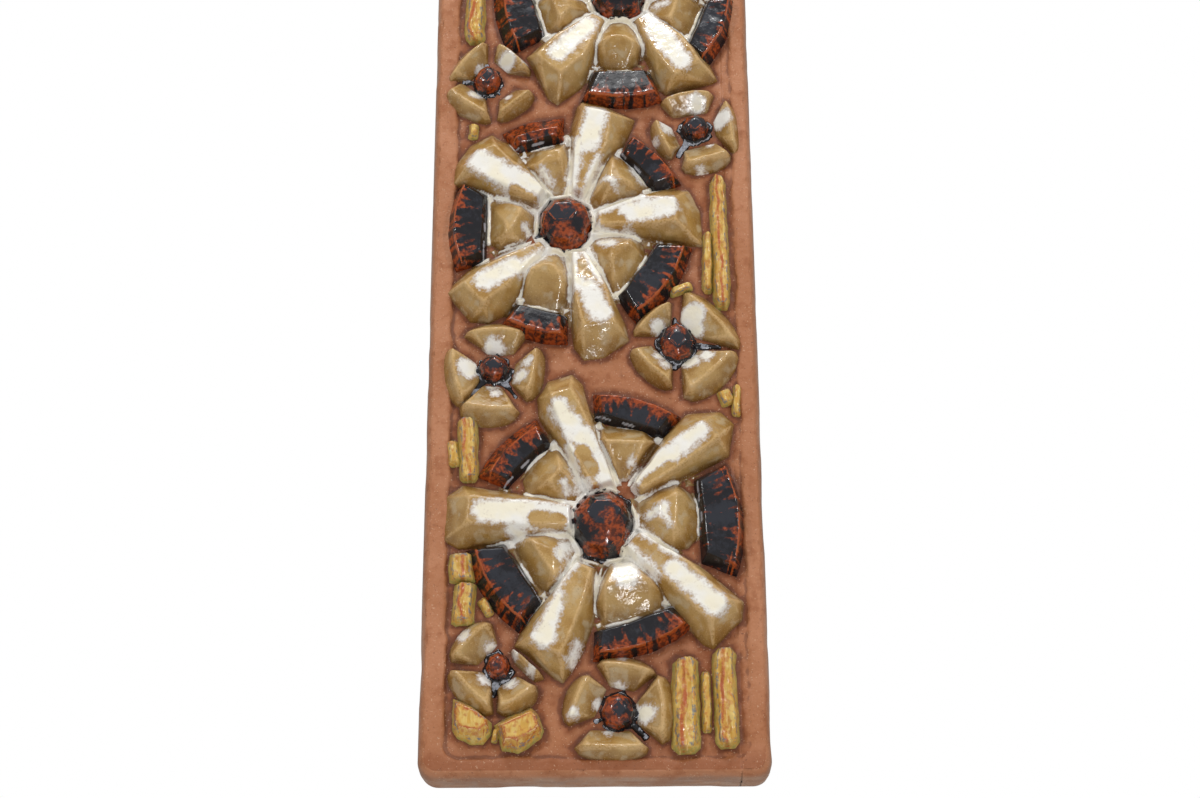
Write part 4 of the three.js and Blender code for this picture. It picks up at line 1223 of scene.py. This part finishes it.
def pale_world(settings):
    world = bpy.data.worlds.new("studio")
    world.use_nodes = True
    tree = world.node_tree
    seen = tree.nodes.new("ShaderNodeLightPath").outputs["Is Camera Ray"]
    strength = tree.nodes.new("ShaderNodeMapRange")
    tree.links.new(seen, strength.inputs["Value"])
    strength.inputs["To Min"].default_value = settings.world_strength
    strength.inputs["To Max"].default_value = settings.backdrop
    background = tree.nodes["Background"].inputs
    background["Color"].default_value = (1, 1, 1, 1)
    tree.links.new(strength.outputs["Result"], background["Strength"])
    bpy.context.scene.world = world
    bpy.context.scene.view_settings.view_transform = "Standard"


# ---- Add-on ----


def amount(name, description, default, **settings):
    return bpy.props.FloatProperty(name=name, description=description, default=default, **settings)


def length(name, description, default):
    return amount(name, description, default, unit="LENGTH")


class PlaqueShape(bpy.types.PropertyGroup):
    """How finely each kind of surface is modelled, and how far its edges wander."""

    petal_step: length("Petal step", "Spacing of the points on petals", 0.00045)
    arc_step: length("Half moon step", "Spacing of the points on the half moons", 0.0005)
    hub_step: length("Hub step", "Spacing of the points on hubs", 0.0004)
    bar_step: length("Bar step", "Spacing of the points on bars and blocks", 0.0004)
    ground_step: length("Ground step", "Spacing of the points on the sunk ground", 0.00115)
    border_step: length("Border step", "Spacing of the points near the slab's edge", 0.0006)
    waver: length("Waver", "How far carved edges wander from straight", 0.00035)


def hue(name, code):
    return bpy.props.FloatVectorProperty(
        name=name, description=name + " colour", default=tone(code), min=0, max=1, subtype="COLOR", size=3
    )


class PlaqueColours(bpy.types.PropertyGroup):
    """Colours of the clay, the glazes and the floor."""

    tan: hue("Tan glaze", "b8955c")
    amber: hue("Tan glaze, thicker", "a37c40")
    # Also painted shade, low on the tan forms and in their hollows.
    umber: hue("Tan glaze, pooled", "6e4a1e")
    haze: hue("Tan glaze, hazy", "c0ae8e")
    # Pale tan on ridges, which also serves as a painted glint.
    break_tan: hue("Tan glaze on ridges", "dcb884")
    cream: hue("White glaze", "f4ecd6")
    milk: hue("White glaze, cooler", "f2efe8")
    lavender: hue("White glaze, thin", "c2b4aa")
    black: hue("Dark glaze", "15141a")
    # Painted sheen on the flats of the dark glaze.
    sheen_slate: hue("Dark glaze, bloom", "282a32")
    scorch: hue("Dark glaze, brown", "5c2612")
    rust: hue("Dark glaze on rims", "a5481c")
    ember: hue("Dark glaze on rims, brighter", "b05a28")
    frost: hue("Thin white over dark", "b8bcc8")
    ochre: hue("Yellow glaze", "cfa04a")
    straw: hue("Yellow glaze, paler", "dcbc6c")
    brick: hue("Yellow glaze, rust", "b0562c")
    moss: hue("Yellow glaze, green", "a8a45c")
    teal: hue("Yellow glaze, blue pools", "6e8088")
    # Painted highlight lines on the yellow glaze.
    highlight_peach: hue("Yellow glaze on ridges", "ecc890")
    clay: hue("Clay", "ac6e46")
    blush: hue("Clay, pinker", "b87b55")
    sienna: hue("Clay, redder", "8c4c26")
    bark: hue("Clay in cuts", "5a2a12")
    dusk: hue("Clay on the sides", "94705a")
    dust: hue("Clay on the sides, paler", "a88872")
    grog: hue("Pale grains", "d8b090")
    paper: hue("Floor", "f6f5f3")
    paper_shade: hue("Floor, shaded", "efeeec")


class PlaqueStudio(bpy.types.PropertyGroup):
    """Camera, lights and floor."""

    eye: bpy.props.FloatVectorProperty(
        name="Camera place", description="Where the camera stands", default=(0.00256, -0.9364, -0.4742),
        subtype="XYZ", unit="LENGTH",
    )
    tilt: amount("Camera tilt", "How far the camera looks up", math.radians(24), subtype="ANGLE")
    roll: amount("Camera roll", "Turn about the line of sight", math.radians(0.29), subtype="ANGLE")
    lens: amount("Lens", "Focal length on a 36 mm sensor", 70.03, subtype="DISTANCE_CAMERA")
    key_watts: amount("Key light", "Power of the large light", 8)
    spark_watts: amount("Sparks", "Power of each small light", 2.5)
    spark_size: length("Spark size", "Width of each small light", 0.1)
    world_strength: amount("World", "Soft light from all round", 0.5)
    backdrop: amount("Backdrop", "Brightness of the empty background", 1.0)
    floor_size: length("Floor size", "Side of the floor", 14)
    floor_height: length("Floor height", "Height of the floor, below the plaque", -1.3)


class PLAQUE_OT_slab(bpy.types.Operator):
    """Build the clay slab with its sunk ground"""

    bl_idname = "plaque.slab"
    bl_label = "Clay slab"

    def execute(self, context):
        slab_piece(context.scene.plaque_shape)
        return {"FINISHED"}


class PLAQUE_OT_large_flowers(bpy.types.Operator):
    """Build the three large flowers"""

    bl_idname = "plaque.large_flowers"
    bl_label = "Large flowers"

    def execute(self, context):
        settings = context.scene.plaque_shape
        for flower in FLOWERS:
            large_petals(flower, settings)
            half_moons(flower, settings)
            hub = flower.hub
            spot = plus(flower.centre, hub.shift)
            hub_piece(flower.name + "_hub", large_hub(flower), spot, hub.tall, hub.rise, [], settings)
        return {"FINISHED"}


class PLAQUE_OT_small_flowers(bpy.types.Operator):
    """Build the small four-petalled flowers"""

    bl_idname = "plaque.small_flowers"
    bl_label = "Small flowers"

    def execute(self, context):
        settings = context.scene.plaque_shape
        for number, flower in enumerate(SMALL_FLOWERS, 1):
            spot = plus(flower.centre, flower.shift)
            name, rise = f"small_flower_{number}", SMALL_HUB["rise"]
            small_petals(name + "_petals", flower, settings)
            hub_piece(name + "_hub", small_hub(flower), spot, flower.tall, rise, flower.runs, settings)
        return {"FINISHED"}


class PLAQUE_OT_bars(bpy.types.Operator):
    """Build the ribbed bars and blocks"""

    bl_idname = "plaque.bars"
    bl_label = "Ribbed bars"

    def execute(self, context):
        settings = context.scene.plaque_shape
        for number, bar in enumerate(BARS, 1):
            ribbed_piece(f"bar_{number}", bar, settings)
        for number, block in enumerate(BLOCKS, 1):
            block_piece(f"block_{number}", block, settings)
        return {"FINISHED"}


class PLAQUE_OT_stage(bpy.types.Operator):
    """Set the floor, lights, world and camera"""

    bl_idname = "plaque.stage"
    bl_label = "Studio"

    def execute(self, context):
        settings = context.scene.plaque_studio
        pale_world(settings)
        floor(settings)
        area_light("key", KEY_PLACE, KEY_SIZE, settings.key_watts)
        for name, place in SPARKS.items():
            area_light(name, place, settings.spark_size, settings.spark_watts)
        camera(settings)
        return {"FINISHED"}


class PLAQUE_PT_panel(bpy.types.Panel):
    """Builds the plaque piece by piece"""

    bl_idname = "PLAQUE_PT_panel"
    bl_label = "Stoneware plaque"
    bl_space_type = "VIEW_3D"
    bl_region_type = "UI"
    bl_category = "Plaque"

    def draw(self, context):
        for operator in OPERATORS:
            self.layout.operator(operator.bl_idname)
        for group in (context.scene.plaque_shape, context.scene.plaque_colours, context.scene.plaque_studio):
            box = self.layout.box()
            for name in group.__annotations__:
                box.prop(group, name)


GROUPS = {"plaque_shape": PlaqueShape, "plaque_colours": PlaqueColours, "plaque_studio": PlaqueStudio}
OPERATORS = [
    PLAQUE_OT_slab, PLAQUE_OT_large_flowers, PLAQUE_OT_small_flowers, PLAQUE_OT_bars, PLAQUE_OT_stage,
]


def register():
    for cls in (*GROUPS.values(), *OPERATORS, PLAQUE_PT_panel):
        bpy.utils.register_class(cls)
    for name, group in GROUPS.items():
        setattr(bpy.types.Scene, name, bpy.props.PointerProperty(type=group))


def unregister():
    for name in GROUPS:
        delattr(bpy.types.Scene, name)
    for cls in (PLAQUE_PT_panel, *OPERATORS[::-1], *list(GROUPS.values())[::-1]):
        bpy.utils.unregister_class(cls)


def main():
    register()
    bpy.ops.plaque.slab()
    bpy.ops.plaque.large_flowers()
    bpy.ops.plaque.small_flowers()
    bpy.ops.plaque.bars()
    bpy.ops.plaque.stage()


if __name__ == "__main__":
    main()
